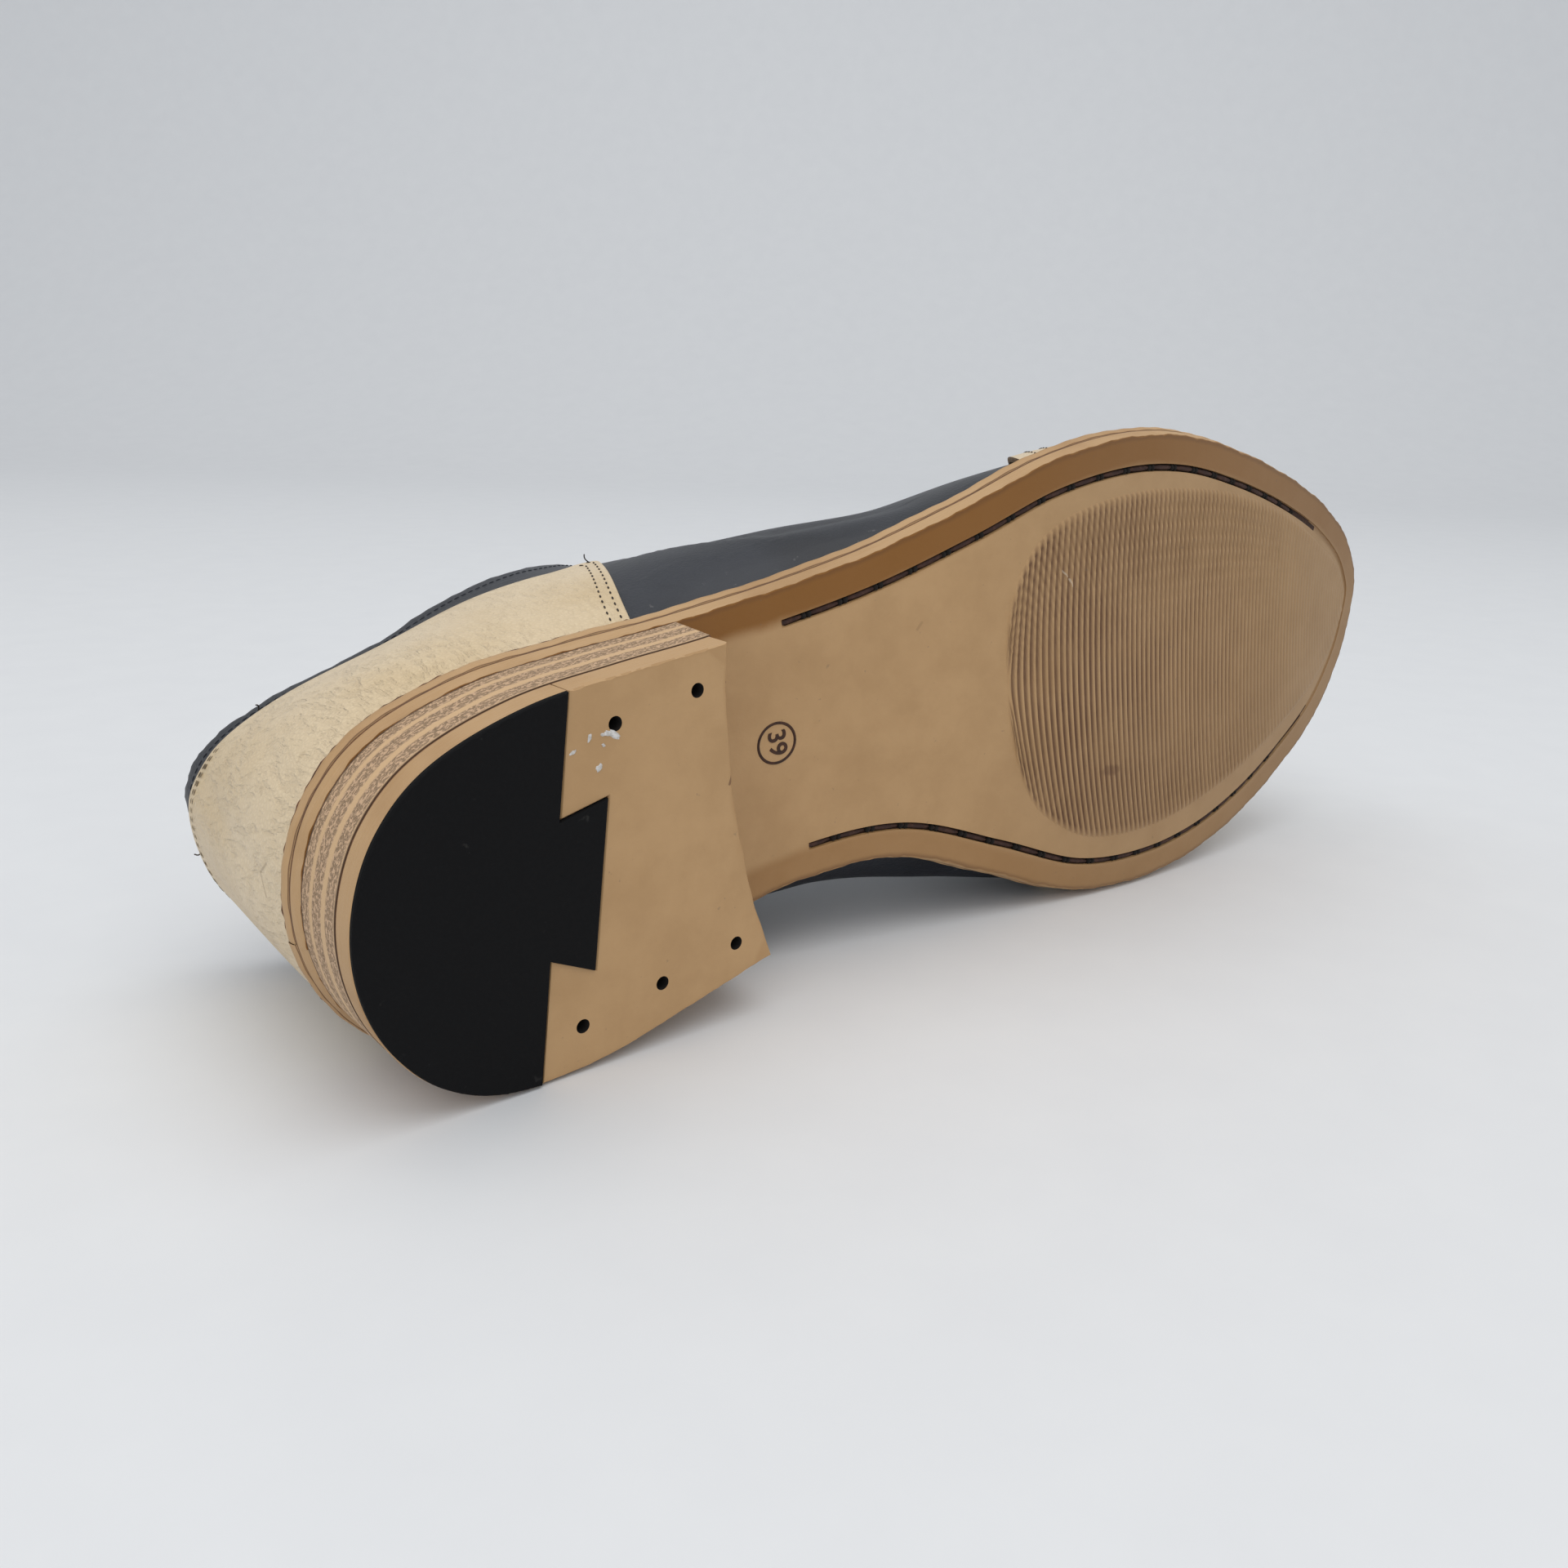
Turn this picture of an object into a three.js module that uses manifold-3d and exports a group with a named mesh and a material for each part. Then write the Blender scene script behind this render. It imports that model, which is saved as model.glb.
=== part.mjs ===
// A right-foot leather oxford in two colours, lying on its inner side with the sole showing.
// Lengths are millimetres. The shoe is modelled standing: X from heel to toe, Y towards the
// inner (medial) side, Z up. The last group lays it down and moves the origin under its middle.
import * as THREE from 'three';
import { mergeVertices } from 'three/addons/utils/BufferGeometryUtils.js';
import Module from 'manifold-3d';

const wasm = await Module();
wasm.setup();

// Driving dimensions
const shoeLength = 270.3;
const ballWidth = 98;
const heelWidth = 61;
const heelRise = 17.7;
const toeSpring = 7;
const collarHeight = 76;
const instepHeight = 84;
const toeHeight = 33;
const seatGap = 0.3;

// Sole layers
const topLiftThickness = 5.4;
const outsoleThickness = 2.6;
const outsoleFlare = 0.5;
const midsoleThickness = 2;
const midsoleOverhang = 0.5;
const insoleThickness = 2.5;
const insoleClearance = 0.6;
const stitchGrooveInset = 6.4;
const stitchGrooveWidth = 1.4;
const stitchGrooveDepth = 1;

// Heel
const breastPlace = 69.5;
const breastHollow = 3;
const breastLean = 0.097;
const rubberFrontPlace = 31.4;
const rubberFrontSkew = 0.295;
const rubberStandsProud = 0.5;
const dovetailLength = 7.9;
const dovetailTipWidth = 26.6;
const dovetailNeckWidth = 21;
const dovetailOffCentre = -1.2;
const nailHoleDiameter = 2.4;
const nailHoleDepth = 3;
const nailPitch = 15.4;
const nailRows = 3;
const firstNailPlace = 31.8;
const nailEdgeDistance = 7.6;

// Upper
const upperWall = 2;
const heelFeatherInset = 2;
const toeFeatherInset = 3.4;
const overlayGap = 0.35;
const overlayThickness = 1.1;
const facingThickness = 1;
const tongueThickness = 2;
const tongueGap = 1.3;
const tongueStandsOut = 14;
const throatHalfWidth = 3.6;
const throatEndRoundness = 6;

// Lacing
const eyeletPairs = 5;
const eyeletBore = 3.2;
const eyeletWall = 0.5;
const eyeletFlange = 6.4;
const eyeletSides = 8;
const eyeletFlangeThickness = 0.7;
const eyeletEdgeDistance = 4.5;
const eyeletBevel = 0.3;
const eyeletLip = 0.2;
const laceWidth = 4;
const laceThickness = 1.6;
const laceSides = 6;
const laceSteps = 5;

// How the shoe lies on its inner side, in degrees: rolled over until the heel's edge, the
// counter and the cap touch the floor, with the toe raised because the ball is the wider end.
const restRoll = 88.805;
const restRise = 11.923;

// Outline of the outsole, from the back of the heel to the tip of the toe.
// along: share of the length. heel: how much of the local width follows the heel width, the
// rest follows the ball width. lateral, medial: shares of the local width on either side.
const outlineRows = [
  { along: 0.0, heel: 1, lateral: 0.0, medial: 0.0 },
  { along: 0.0074, heel: 1, lateral: 0.18, medial: 0.18 },
  { along: 0.0296, heel: 1, lateral: 0.341, medial: 0.341 },
  { along: 0.0666, heel: 1, lateral: 0.449, medial: 0.449 },
  { along: 0.1258, heel: 1, lateral: 0.497, medial: 0.497 },
  { along: 0.1924, heel: 1, lateral: 0.487, medial: 0.487 },
  { along: 0.259, heel: 1, lateral: 0.467, medial: 0.468 },
  { along: 0.333, heel: 1, lateral: 0.467, medial: 0.457 },
  { along: 0.407, heel: 0.5, lateral: 0.38, medial: 0.385 },
  { along: 0.481, heel: 0, lateral: 0.346, medial: 0.4235 },
  { along: 0.555, heel: 0, lateral: 0.389, medial: 0.545 },
  { along: 0.629, heel: 0, lateral: 0.39, medial: 0.606 },
  { along: 0.703, heel: 0, lateral: 0.347, medial: 0.6286 },
  { along: 0.777, heel: 0, lateral: 0.265, medial: 0.612 },
  { along: 0.851, heel: 0, lateral: 0.163, medial: 0.564 },
  { along: 0.9175, heel: 0, lateral: 0.053, medial: 0.5 },
  { along: 0.969, heel: 0, lateral: -0.061, medial: 0.393 },
  { along: 0.9933, heel: 0, lateral: -0.153, medial: 0.286 },
  { along: 1.0, heel: 0, lateral: -0.219, medial: 0.219 },
];

// Underside of the outsole seen from the side. along: share of the length. rise: share of the
// heel rise.
const waistRows = [
  { along: 0.0, rise: 1.0 },
  { along: 0.13, rise: 0.985 },
  { along: 0.26, rise: 0.95 },
  { along: 0.33, rise: 0.83 },
  { along: 0.415, rise: 0.56 },
  { along: 0.52, rise: 0.22 },
  { along: 0.6, rise: 0.045 },
  { along: 0.66, rise: 0.0 },
  { along: 0.7, rise: 0.0 },
];
// The toe spring starts where the waist has come down.
const springStart = waistRows[waistRows.length - 1].along;

// Top of the last, one row for each outline row. along, centre: place of the top, as shares of
// the length and the ball width. opening: half width at the top, a share of the heel width.
// collar, instep, toe: its height, as shares of the three heights.
const topRows = [
  { along: 0.012, centre: 0, opening: 0, collar: 1, instep: 0, toe: 0 },
  { along: 0.016, centre: 0, opening: 0.14, collar: 0.993, instep: 0, toe: 0 },
  { along: 0.036, centre: 0, opening: 0.255, collar: 0.955, instep: 0, toe: 0 },
  { along: 0.076, centre: 0, opening: 0.352, collar: 0.88, instep: 0, toe: 0 },
  { along: 0.14, centre: 0, opening: 0.42, collar: 0.83, instep: 0, toe: 0 },
  { along: 0.207, centre: 0, opening: 0.48, collar: 0.855, instep: 0, toe: 0 },
  { along: 0.274, centre: 0, opening: 0.475, collar: 0.9, instep: 0, toe: 0 },
  { along: 0.34, centre: 0, opening: 0.35, collar: 0, instep: 0.92, toe: 0 },
  { along: 0.4, centre: 0.01, opening: 0, collar: 0, instep: 1, toe: 0 },
  { along: 0.459, centre: 0.03, opening: 0, collar: 0, instep: 0.895, toe: 0 },
  { along: 0.518, centre: 0.056, opening: 0, collar: 0, instep: 0.786, toe: 0 },
  { along: 0.577, centre: 0.087, opening: 0, collar: 0, instep: 0.69, toe: 0 },
  { along: 0.636, centre: 0.117, opening: 0, collar: 0, instep: 0.605, toe: 0 },
  { along: 0.7, centre: 0.143, opening: 0, collar: 0, instep: 0.3, toe: 0.57 },
  { along: 0.762, centre: 0.168, opening: 0, collar: 0, instep: 0, toe: 1.18 },
  { along: 0.814, centre: 0.187, opening: 0, collar: 0, instep: 0, toe: 1.09 },
  { along: 0.847, centre: 0.199, opening: 0, collar: 0, instep: 0, toe: 1.04 },
  { along: 0.869, centre: 0.205, opening: 0, collar: 0, instep: 0, toe: 1.015 },
  { along: 0.88, centre: 0.207, opening: 0, collar: 0, instep: 0, toe: 1 },
];

// Side of the last, one row for each outline row: a cubic curve from the feather edge to the
// top. rise, drop: lengths of its lower and upper handles, as shares of the climb. reach: how far
// the upper handle leans outwards, as a share of the way to the foot. lateral, medial: how far
// each side swells, as shares of the heel width.
const sideRows = [
  { rise: 0.42, reach: 0.2, drop: 0.36, lateral: 0.03, medial: 0 },
  { rise: 0.42, reach: 0.2, drop: 0.36, lateral: 0.03, medial: 0 },
  { rise: 0.42, reach: 0.2, drop: 0.36, lateral: 0.035, medial: 0 },
  { rise: 0.42, reach: 0.2, drop: 0.36, lateral: 0.05, medial: 0.03 },
  { rise: 0.42, reach: 0.2, drop: 0.36, lateral: 0.07, medial: 0.08 },
  { rise: 0.42, reach: 0.2, drop: 0.36, lateral: 0.075, medial: 0.18 },
  { rise: 0.36, reach: 0.22, drop: 0.34, lateral: 0.095, medial: 0.29 },
  { rise: 0.3, reach: 0.44, drop: 0.2, lateral: 0.2, medial: 0.48 },
  { rise: 0.26, reach: 0.58, drop: 0.05, lateral: 0.22, medial: 0.58 },
  { rise: 0.28, reach: 0.52, drop: 0.04, lateral: 0.1, medial: 0.45 },
  { rise: 0.4, reach: 0.48, drop: 0.03, lateral: 0.005, medial: 0.28 },
  { rise: 0.47, reach: 0.46, drop: 0.02, lateral: -0.015, medial: 0.15 },
  { rise: 0.48, reach: 0.46, drop: 0.02, lateral: 0, medial: 0.08 },
  { rise: 0.5, reach: 0.47, drop: 0.02, lateral: 0.01, medial: 0.05 },
  { rise: 0.52, reach: 0.48, drop: 0.01, lateral: 0.01, medial: 0.04 },
  { rise: 0.56, reach: 0.48, drop: 0, lateral: 0.01, medial: 0.03 },
  { rise: 0.6, reach: 0.48, drop: 0, lateral: 0.02, medial: 0.03 },
  { rise: 0.62, reach: 0.48, drop: 0, lateral: 0.02, medial: 0.02 },
  { rise: 0.62, reach: 0.48, drop: 0, lateral: 0.02, medial: 0.02 },
];

const lastRow = outlineRows.length - 1;
const ringRows = 2 * lastRow;
const collarFrontRow = 8;
const throatEndRow = 11.5;
const ringStep = 0.5;
const profileSteps = 9;

// A smooth number along a table: rows count from the heel, and past either tip the table goes
// on along the other side of the shoe.
function blend(values, position) {
  const first = Math.floor(position);
  const t = position - first;
  const [a, b, c, d] = [-1, 0, 1, 2].map((step) => values(first + step));
  const bend = 2 * a - 5 * b + 4 * c - d;
  const twist = 3 * b - a - 3 * c + d;
  return 0.5 * (2 * b + (c - a) * t + bend * t ** 2 + twist * t ** 3);
}

// Row number and side (-1 lateral, +1 medial) at a place on the ring.
function ringPlace(index) {
  const wrapped = ((index % ringRows) + ringRows) % ringRows;
  return wrapped <= lastRow ? [wrapped, -1] : [ringRows - wrapped, 1];
}

// Height of the outsole's underside at x.
function groundLine(x) {
  const along = Math.min(Math.max(x / shoeLength, 0), 1.02);
  if (along >= springStart) {
    return toeSpring * ((along - springStart) / (1 - springStart)) ** 2;
  }
  const next = waistRows.findIndex((row) => row.along > along);
  const slopeAt = (i) => {
    const before = waistRows[Math.max(i - 1, 0)];
    const after = waistRows[Math.min(i + 1, waistRows.length - 1)];
    return (after.rise - before.rise) / (after.along - before.along);
  };
  const a = waistRows[next - 1];
  const b = waistRows[next];
  const span = b.along - a.along;
  const t = (along - a.along) / span;
  const rise = a.rise * (1 - t) ** 2 * (1 + 2 * t) + b.rise * t * t * (3 - 2 * t)
    + span * (slopeAt(next - 1) * t * (1 - t) ** 2 - slopeAt(next) * t * t * (1 - t));
  return heelRise * Math.max(rise, 0);
}

const midsoleBase = outsoleThickness + seatGap;
const featherBase = midsoleBase + midsoleThickness + seatGap;

// Plan point of the outsole's lower edge at a place on the ring.
function outlineAt(position) {
  const x = blend((i) => outlineRows[ringPlace(i)[0]].along * shoeLength, position);
  const y = blend((i) => {
    const [index, side] = ringPlace(i);
    const row = outlineRows[index];
    const width = row.heel * heelWidth + (1 - row.heel) * ballWidth;
    return side * width * (side < 0 ? row.lateral : row.medial);
  }, position);
  return new THREE.Vector2(x, y);
}

// The same point moved outwards in plan.
function offsetOutline(position, outwards) {
  const step = 0.02;
  const along = outlineAt(position + step).sub(outlineAt(position - step)).normalize();
  const point = outlineAt(position);
  return point.add(new THREE.Vector2(-along.y, along.x).multiplyScalar(-outwards));
}

// How far the upper's foot stands outside the outsole's lower edge: inside the welt everywhere,
// and further inside it round the forepart.
function featherOffset(position) {
  const heelPart = blend((i) => outlineRows[ringPlace(i)[0]].heel, position);
  const inset = heelPart * heelFeatherInset + (1 - heelPart) * toeFeatherInset;
  return outsoleFlare + midsoleOverhang - inset;
}

// A point of the last's surface: place on the ring, and share from the feather edge to the top.
function lastPoint(position, share) {
  const topColumn = (name) => blend((i) => topRows[ringPlace(i)[0]][name], position);
  const sideColumn = (name) => blend((i) => sideRows[ringPlace(i)[0]][name], position);
  const opening = blend((i) => {
    const [index, side] = ringPlace(i);
    return side * topRows[index].opening * heelWidth;
  }, position);
  const swell = blend((i) => {
    const [index, side] = ringPlace(i);
    return sideRows[index][side < 0 ? 'lateral' : 'medial'] * heelWidth;
  }, position);
  const feather = featherOffset(position);
  const foot = offsetOutline(position, feather);
  const out = offsetOutline(position, feather + swell).sub(foot);
  const footHeight = groundLine(foot.x) + featherBase;
  const top = new THREE.Vector2(
    topColumn('along') * shoeLength,
    topColumn('centre') * ballWidth + opening,
  );
  const topHeight = topColumn('collar') * collarHeight
    + topColumn('instep') * instepHeight
    + topColumn('toe') * toeHeight;
  const climb = topHeight - footHeight;
  const lowHandle = foot.clone().add(out);
  const highHandle = top.clone().lerp(foot, sideColumn('reach'));
  const section = new THREE.CubicBezierCurve3(
    new THREE.Vector3(foot.x, foot.y, footHeight),
    new THREE.Vector3(lowHandle.x, lowHandle.y, footHeight + sideColumn('rise') * climb),
    new THREE.Vector3(highHandle.x, highHandle.y, topHeight - sideColumn('drop') * climb),
    new THREE.Vector3(top.x, top.y, topHeight),
  );
  return section.getPoint(share);
}

// The share at which a section lies this far below another share of it.
function shareBelow(position, share, distance) {
  const start = lastPoint(position, share);
  const step = 0.002;
  let lower = share;
  while (lower > step && lastPoint(position, lower).distanceTo(start) < distance) {
    lower -= step;
  }
  return lower;
}

// Where the upper ends at a place on the ring: 1 at the collar and over the closed vamp, a
// little less along the throat.
function upperEdge(position) {
  const [row] = ringPlace(position);
  if (row >= throatEndRow || row <= collarFrontRow - 1) {
    return 1;
  }
  const opened = Math.min(1, row - collarFrontRow + 1);
  const ahead = Math.max(0, (row - collarFrontRow) / (throatEndRow - collarFrontRow));
  const rounded = Math.sqrt(1 - ahead ** throatEndRoundness);
  const ridgePart = 0.1;
  const ridgeReach = lastPoint(position, 1).distanceTo(lastPoint(position, 1 - ridgePart)) / ridgePart;
  return 1 - opened * rounded * throatHalfWidth / ridgeReach;
}

// Outward unit normal of a surface given by its place function. Shells are offset along it, but
// level at the feather edge, and on the ridge along the mean of both sides.
function surfaceNormal(place, position, share) {
  const stepRing = 0.05;
  const stepShare = 0.01;
  const around = place(position + stepRing, share).sub(place(position - stepRing, share));
  const upper = Math.min(share + stepShare, 1);
  const up = place(position, upper).sub(place(position, Math.max(upper - 2 * stepShare, 0)));
  return around.cross(up).normalize();
}

function shellNormal(place, position, share) {
  if (share === 0) {
    return surfaceNormal(place, position, share).setZ(0).normalize();
  }
  if (share < 1 || ringPlace(position)[0] < collarFrontRow) {
    return surfaceNormal(place, position, share);
  }
  const besideRidge = 0.97;
  const near = surfaceNormal(place, position, besideRidge);
  return near.add(surfaceNormal(place, ringRows - position, besideRidge)).normalize();
}

// A closed shell between two offsets of a surface. rows: a list of rows of [ring place, share]
// pairs. Points that fall together are joined, and every open edge gets a rim.
const pointsPerMillimetre = 200;
function shell(rows, inner, outer, place) {
  const points = [];
  const numbers = new Map();
  const pointNumber = ([position, share]) => {
    const spot = place(position, share);
    const key = spot.toArray().map((value) => Math.round(value * pointsPerMillimetre)).join(' ');
    if (!numbers.has(key)) {
      numbers.set(key, points.length);
      points.push({ spot, normal: shellNormal(place, position, share) });
    }
    return numbers.get(key);
  };
  const grid = rows.map((row) => row.map(pointNumber));
  const faces = [];
  for (let i = 0; i + 1 < grid.length; i += 1) {
    for (let j = 0; j + 1 < grid[i].length; j += 1) {
      const [a, b, c, d] = [grid[i][j], grid[i + 1][j], grid[i + 1][j + 1], grid[i][j + 1]];
      faces.push([a, b, c], [a, c, d]);
    }
  }
  const real = faces.filter(([a, b, c]) => a !== b && b !== c && a !== c);
  const edges = new Map();
  for (const face of real) {
    face.forEach((from, k) => {
      edges.set(`${from}>${face[(k + 1) % 3]}`, [from, face[(k + 1) % 3]]);
    });
  }
  const vertices = [];
  for (const offset of [outer, inner]) {
    for (const { spot, normal } of points) {
      vertices.push(...spot.clone().addScaledVector(normal, offset).toArray());
    }
  }
  const count = points.length;
  const index = [];
  for (const [a, b, c] of real) {
    index.push(a, b, c, a + count, c + count, b + count);
  }
  for (const [from, to] of edges.values()) {
    if (!edges.has(`${to}>${from}`)) {
      index.push(to, from, from + count, to, from + count, to + count);
    }
  }
  return closedGeometry(vertices, index);
}

function closedGeometry(vertices, index) {
  const geometry = new THREE.BufferGeometry();
  geometry.setAttribute('position', new THREE.Float32BufferAttribute(vertices, 3));
  geometry.setIndex(index);
  return geometry;
}

// A plate between two stacked outlines with the same number of points, each with its height.
function slab(lower, upper, lowerHeight, upperHeight) {
  const count = lower.length;
  const vertices = [
    ...lower.flatMap((p) => [p.x, p.y, lowerHeight(p.x)]),
    ...upper.flatMap((p) => [p.x, p.y, upperHeight(p.x)]),
  ];
  const index = [];
  for (const [a, b, c] of THREE.ShapeUtils.triangulateShape(lower, [])) {
    index.push(a, c, b, a + count, b + count, c + count);
  }
  for (let i = 0; i < count; i += 1) {
    const next = (i + 1) % count;
    index.push(i, next, next + count, i, next + count, i + count);
  }
  return closedGeometry(vertices, index);
}

// A sole layer: strips from side to side that follow the waist and the toe spring.
function soleLayer(lowerOffset, upperOffset, lowerHeight, upperHeight) {
  const stations = [];
  for (let row = 0; row <= lastRow + 1e-9; row += ringStep / 2) {
    stations.push(row);
  }
  const vertices = [];
  const put = (position, offset, height) => {
    const p = offsetOutline(position, offset);
    vertices.push(p.x, p.y, height(p.x));
    return vertices.length / 3 - 1;
  };
  const section = (row) => {
    if (row === 0 || row === lastRow) {
      const low = put(row, lowerOffset, lowerHeight);
      const high = put(row, upperOffset, upperHeight);
      return [low, low, high, high];
    }
    return [
      put(row, lowerOffset, lowerHeight),
      put(ringRows - row, lowerOffset, lowerHeight),
      put(ringRows - row, upperOffset, upperHeight),
      put(row, upperOffset, upperHeight),
    ];
  };
  const sections = stations.map(section);
  const index = [];
  const add = (a, b, c) => {
    if (a !== b && b !== c && a !== c) {
      index.push(a, b, c);
    }
  };
  for (let i = 0; i + 1 < sections.length; i += 1) {
    for (let k = 0; k < 4; k += 1) {
      const [a, b] = [sections[i][k], sections[i][(k + 1) % 4]];
      const [c, d] = [sections[i + 1][(k + 1) % 4], sections[i + 1][k]];
      add(a, b, c);
      add(a, c, d);
    }
  }
  return closedGeometry(vertices, index);
}

function toManifold(geometry) {
  const plain = geometry.clone();
  plain.deleteAttribute('normal');
  plain.deleteAttribute('uv');
  const merged = mergeVertices(plain, 1e-4);
  return new wasm.Manifold(new wasm.Mesh({
    numProp: 3,
    vertProperties: new Float32Array(merged.attributes.position.array),
    triVerts: new Uint32Array(merged.index.array),
  }));
}

function fromManifold(solid) {
  const mesh = solid.getMesh();
  return closedGeometry(Array.from(mesh.vertProperties), Array.from(mesh.triVerts));
}

const soleUnderside = (x) => groundLine(x);
const outsoleTop = (x) => groundLine(x) + outsoleThickness;
const midsoleUnderside = (x) => groundLine(x) + midsoleBase;
const midsoleTop = (x) => groundLine(x) + midsoleBase + midsoleThickness;
const insoleUnderside = (x) => groundLine(x) + featherBase;
const insoleTop = (x) => groundLine(x) + featherBase + insoleThickness;

// The stitch groove: a channel of even depth that runs round the forepart inside the edge.
const grooveStartRow = 7.08;

// The outsole's sections follow a closed path: in from the outer edge underneath, through the
// groove on both sides, out to the inner edge and back over the top.
function outsole() {
  const halfWidth = stitchGrooveWidth / 2;
  const outerWall = -stitchGrooveInset + halfWidth;
  const innerWall = -stitchGrooveInset - halfWidth;
  const grooveFloor = (x) => soleUnderside(x) + stitchGrooveDepth;
  const vertices = [];
  const section = (row, grooved) => {
    const sides = row === 0 || row === lastRow ? [row, row] : [row, ringRows - row];
    const floor = grooved ? grooveFloor : soleUnderside;
    const corners = [
      [0, soleUnderside],
      [outerWall, soleUnderside],
      [outerWall, floor],
      [innerWall, floor],
      [innerWall, soleUnderside],
    ];
    const point = (w, [offset, height]) => {
      const p = offsetOutline(w, offset);
      return [p.x, p.y, height(p.x)];
    };
    return [
      ...corners.map((corner) => point(sides[0], corner)),
      ...corners.toReversed().map((corner) => point(sides[1], corner)),
      point(sides[1], [outsoleFlare, outsoleTop]),
      point(sides[0], [outsoleFlare, outsoleTop]),
    ];
  };
  const sections = [];
  for (let row = 0; row < grooveStartRow - ringStep / 4; row += ringStep / 2) {
    sections.push(section(row, false));
  }
  sections.push(section(grooveStartRow, false), section(grooveStartRow, true));
  const firstGrooved = Math.ceil((grooveStartRow + ringStep / 4) / (ringStep / 2)) * ringStep / 2;
  for (let row = firstGrooved; row <= lastRow + 1e-9; row += ringStep / 2) {
    sections.push(section(row, true));
  }
  const count = sections[0].length;
  const numbers = new Map();
  const numberOf = (point) => {
    const key = point.map((value) => Math.round(value * 1e4)).join(' ');
    if (!numbers.has(key)) {
      numbers.set(key, vertices.length / 3);
      vertices.push(...point);
    }
    return numbers.get(key);
  };
  const rings = sections.map((points) => points.map(numberOf));
  const index = [];
  const add = (a, b, c) => {
    if (a !== b && b !== c && a !== c) {
      index.push(a, b, c);
    }
  };
  for (let i = 0; i + 1 < rings.length; i += 1) {
    for (let k = 0; k < count; k += 1) {
      const [a, b] = [rings[i][k], rings[i][(k + 1) % count]];
      const [c, d] = [rings[i + 1][(k + 1) % count], rings[i + 1][k]];
      add(a, b, c);
      add(a, c, d);
    }
  }
  return closedGeometry(vertices, index);
}

function midsole() {
  const edge = outsoleFlare + midsoleOverhang;
  return soleLayer(outsoleFlare, edge, midsoleUnderside, midsoleTop);
}

function insole() {
  const edge = outsoleFlare + midsoleOverhang - toeFeatherInset - upperWall - insoleClearance;
  return soleLayer(edge, edge, insoleUnderside, insoleTop);
}

// Plan outline of a heel layer, closed in front by the hollow breast.
const heelSteps = 44;
const breastSteps = 10;
function heelOutline(offset, breast) {
  const rowOf = (side) => {
    let [low, high] = [0, lastRow / 2];
    const halvings = 40;
    for (let i = 0; i < halvings; i += 1) {
      const middle = (low + high) / 2;
      if (offsetOutline(side * middle, offset).x < breast) {
        low = middle;
      } else {
        high = middle;
      }
    }
    return side * low;
  };
  const [medialEnd, lateralEnd] = [rowOf(-1), rowOf(1)];
  const points = [];
  for (let i = 0; i <= heelSteps; i += 1) {
    points.push(offsetOutline(lateralEnd + (medialEnd - lateralEnd) * i / heelSteps, offset));
  }
  const [from, to] = [points[points.length - 1], points[0]];
  for (let i = 1; i < breastSteps; i += 1) {
    const t = i / breastSteps;
    const p = from.clone().lerp(to, t);
    p.x -= breastHollow * 4 * t * (1 - t);
    points.push(p);
  }
  return points.reverse();
}

const level = (height) => () => height;
const liftSpread = 0.1;

function heelStack() {
  const low = topLiftThickness + seatGap;
  return slab(
    heelOutline(liftSpread, breastPlace + breastLean * low),
    heelOutline(0, breastPlace + breastLean * heelRise),
    level(low),
    (x) => groundLine(x) - seatGap,
  );
}

function heelLift(bottom) {
  return slab(
    heelOutline(0, breastPlace),
    heelOutline(liftSpread, breastPlace + breastLean * topLiftThickness),
    level(bottom),
    level(topLiftThickness),
  );
}

// The rubber quarter piece in plan: everything behind a slanting front edge with a dovetail.
function rubberPlan(grow) {
  const wide = heelWidth;
  const front = (y) => rubberFrontPlace - rubberFrontSkew * y + grow;
  const tip = (side) => {
    const y = dovetailOffCentre + side * (dovetailTipWidth / 2 + grow);
    return new THREE.Vector2(front(y) + dovetailLength, y + rubberFrontSkew * dovetailLength);
  };
  const neck = (side) => {
    const y = dovetailOffCentre + side * (dovetailNeckWidth / 2 + grow);
    return new THREE.Vector2(front(y), y);
  };
  return new THREE.Shape([
    new THREE.Vector2(-wide, -wide),
    new THREE.Vector2(front(-wide), -wide),
    neck(-1),
    tip(-1),
    tip(1),
    neck(1),
    new THREE.Vector2(front(wide), wide),
    new THREE.Vector2(-wide, wide),
  ]);
}

function rubberBlock(grow) {
  const depth = topLiftThickness * 3;
  const block = new THREE.ExtrudeGeometry(rubberPlan(grow), { depth, bevelEnabled: false });
  return toManifold(block.translate(0, 0, -topLiftThickness));
}

const nailHoleSides = 12;
function nailHoles() {
  const holes = [];
  const radius = nailHoleDiameter / 2;
  for (let i = 0; i < nailRows; i += 1) {
    for (const side of [-1, 1]) {
      const x = firstNailPlace + i * nailPitch;
      const y = side * (heelWidth / 2 - nailEdgeDistance);
      const inRubber = x < rubberFrontPlace - rubberFrontSkew * y + nailHoleDiameter;
      if (!inRubber) {
        const hole = new THREE.CylinderGeometry(radius, radius, 2 * nailHoleDepth, nailHoleSides);
        holes.push(toManifold(hole.rotateX(Math.PI / 2).translate(x, y, rubberStandsProud)));
      }
    }
  }
  return holes;
}

function topLift() {
  const leather = toManifold(heelLift(rubberStandsProud)).subtract(rubberBlock(seatGap));
  return fromManifold(nailHoles().reduce((solid, hole) => solid.subtract(hole), leather));
}

function heelRubber() {
  return fromManifold(toManifold(heelLift(0)).intersect(rubberBlock(0)));
}

// Rows of [ring place, share] for the shell builder.
function ringStations(from, to, step = ringStep) {
  const count = Math.round((to - from) / step);
  return Array.from({ length: count + 1 }, (_, i) => from + (to - from) * i / count);
}

const sharesInSteps = (steps) => Array.from({ length: steps + 1 }, (_, i) => i / steps);
const profileShares = sharesInSteps(profileSteps);

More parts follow.
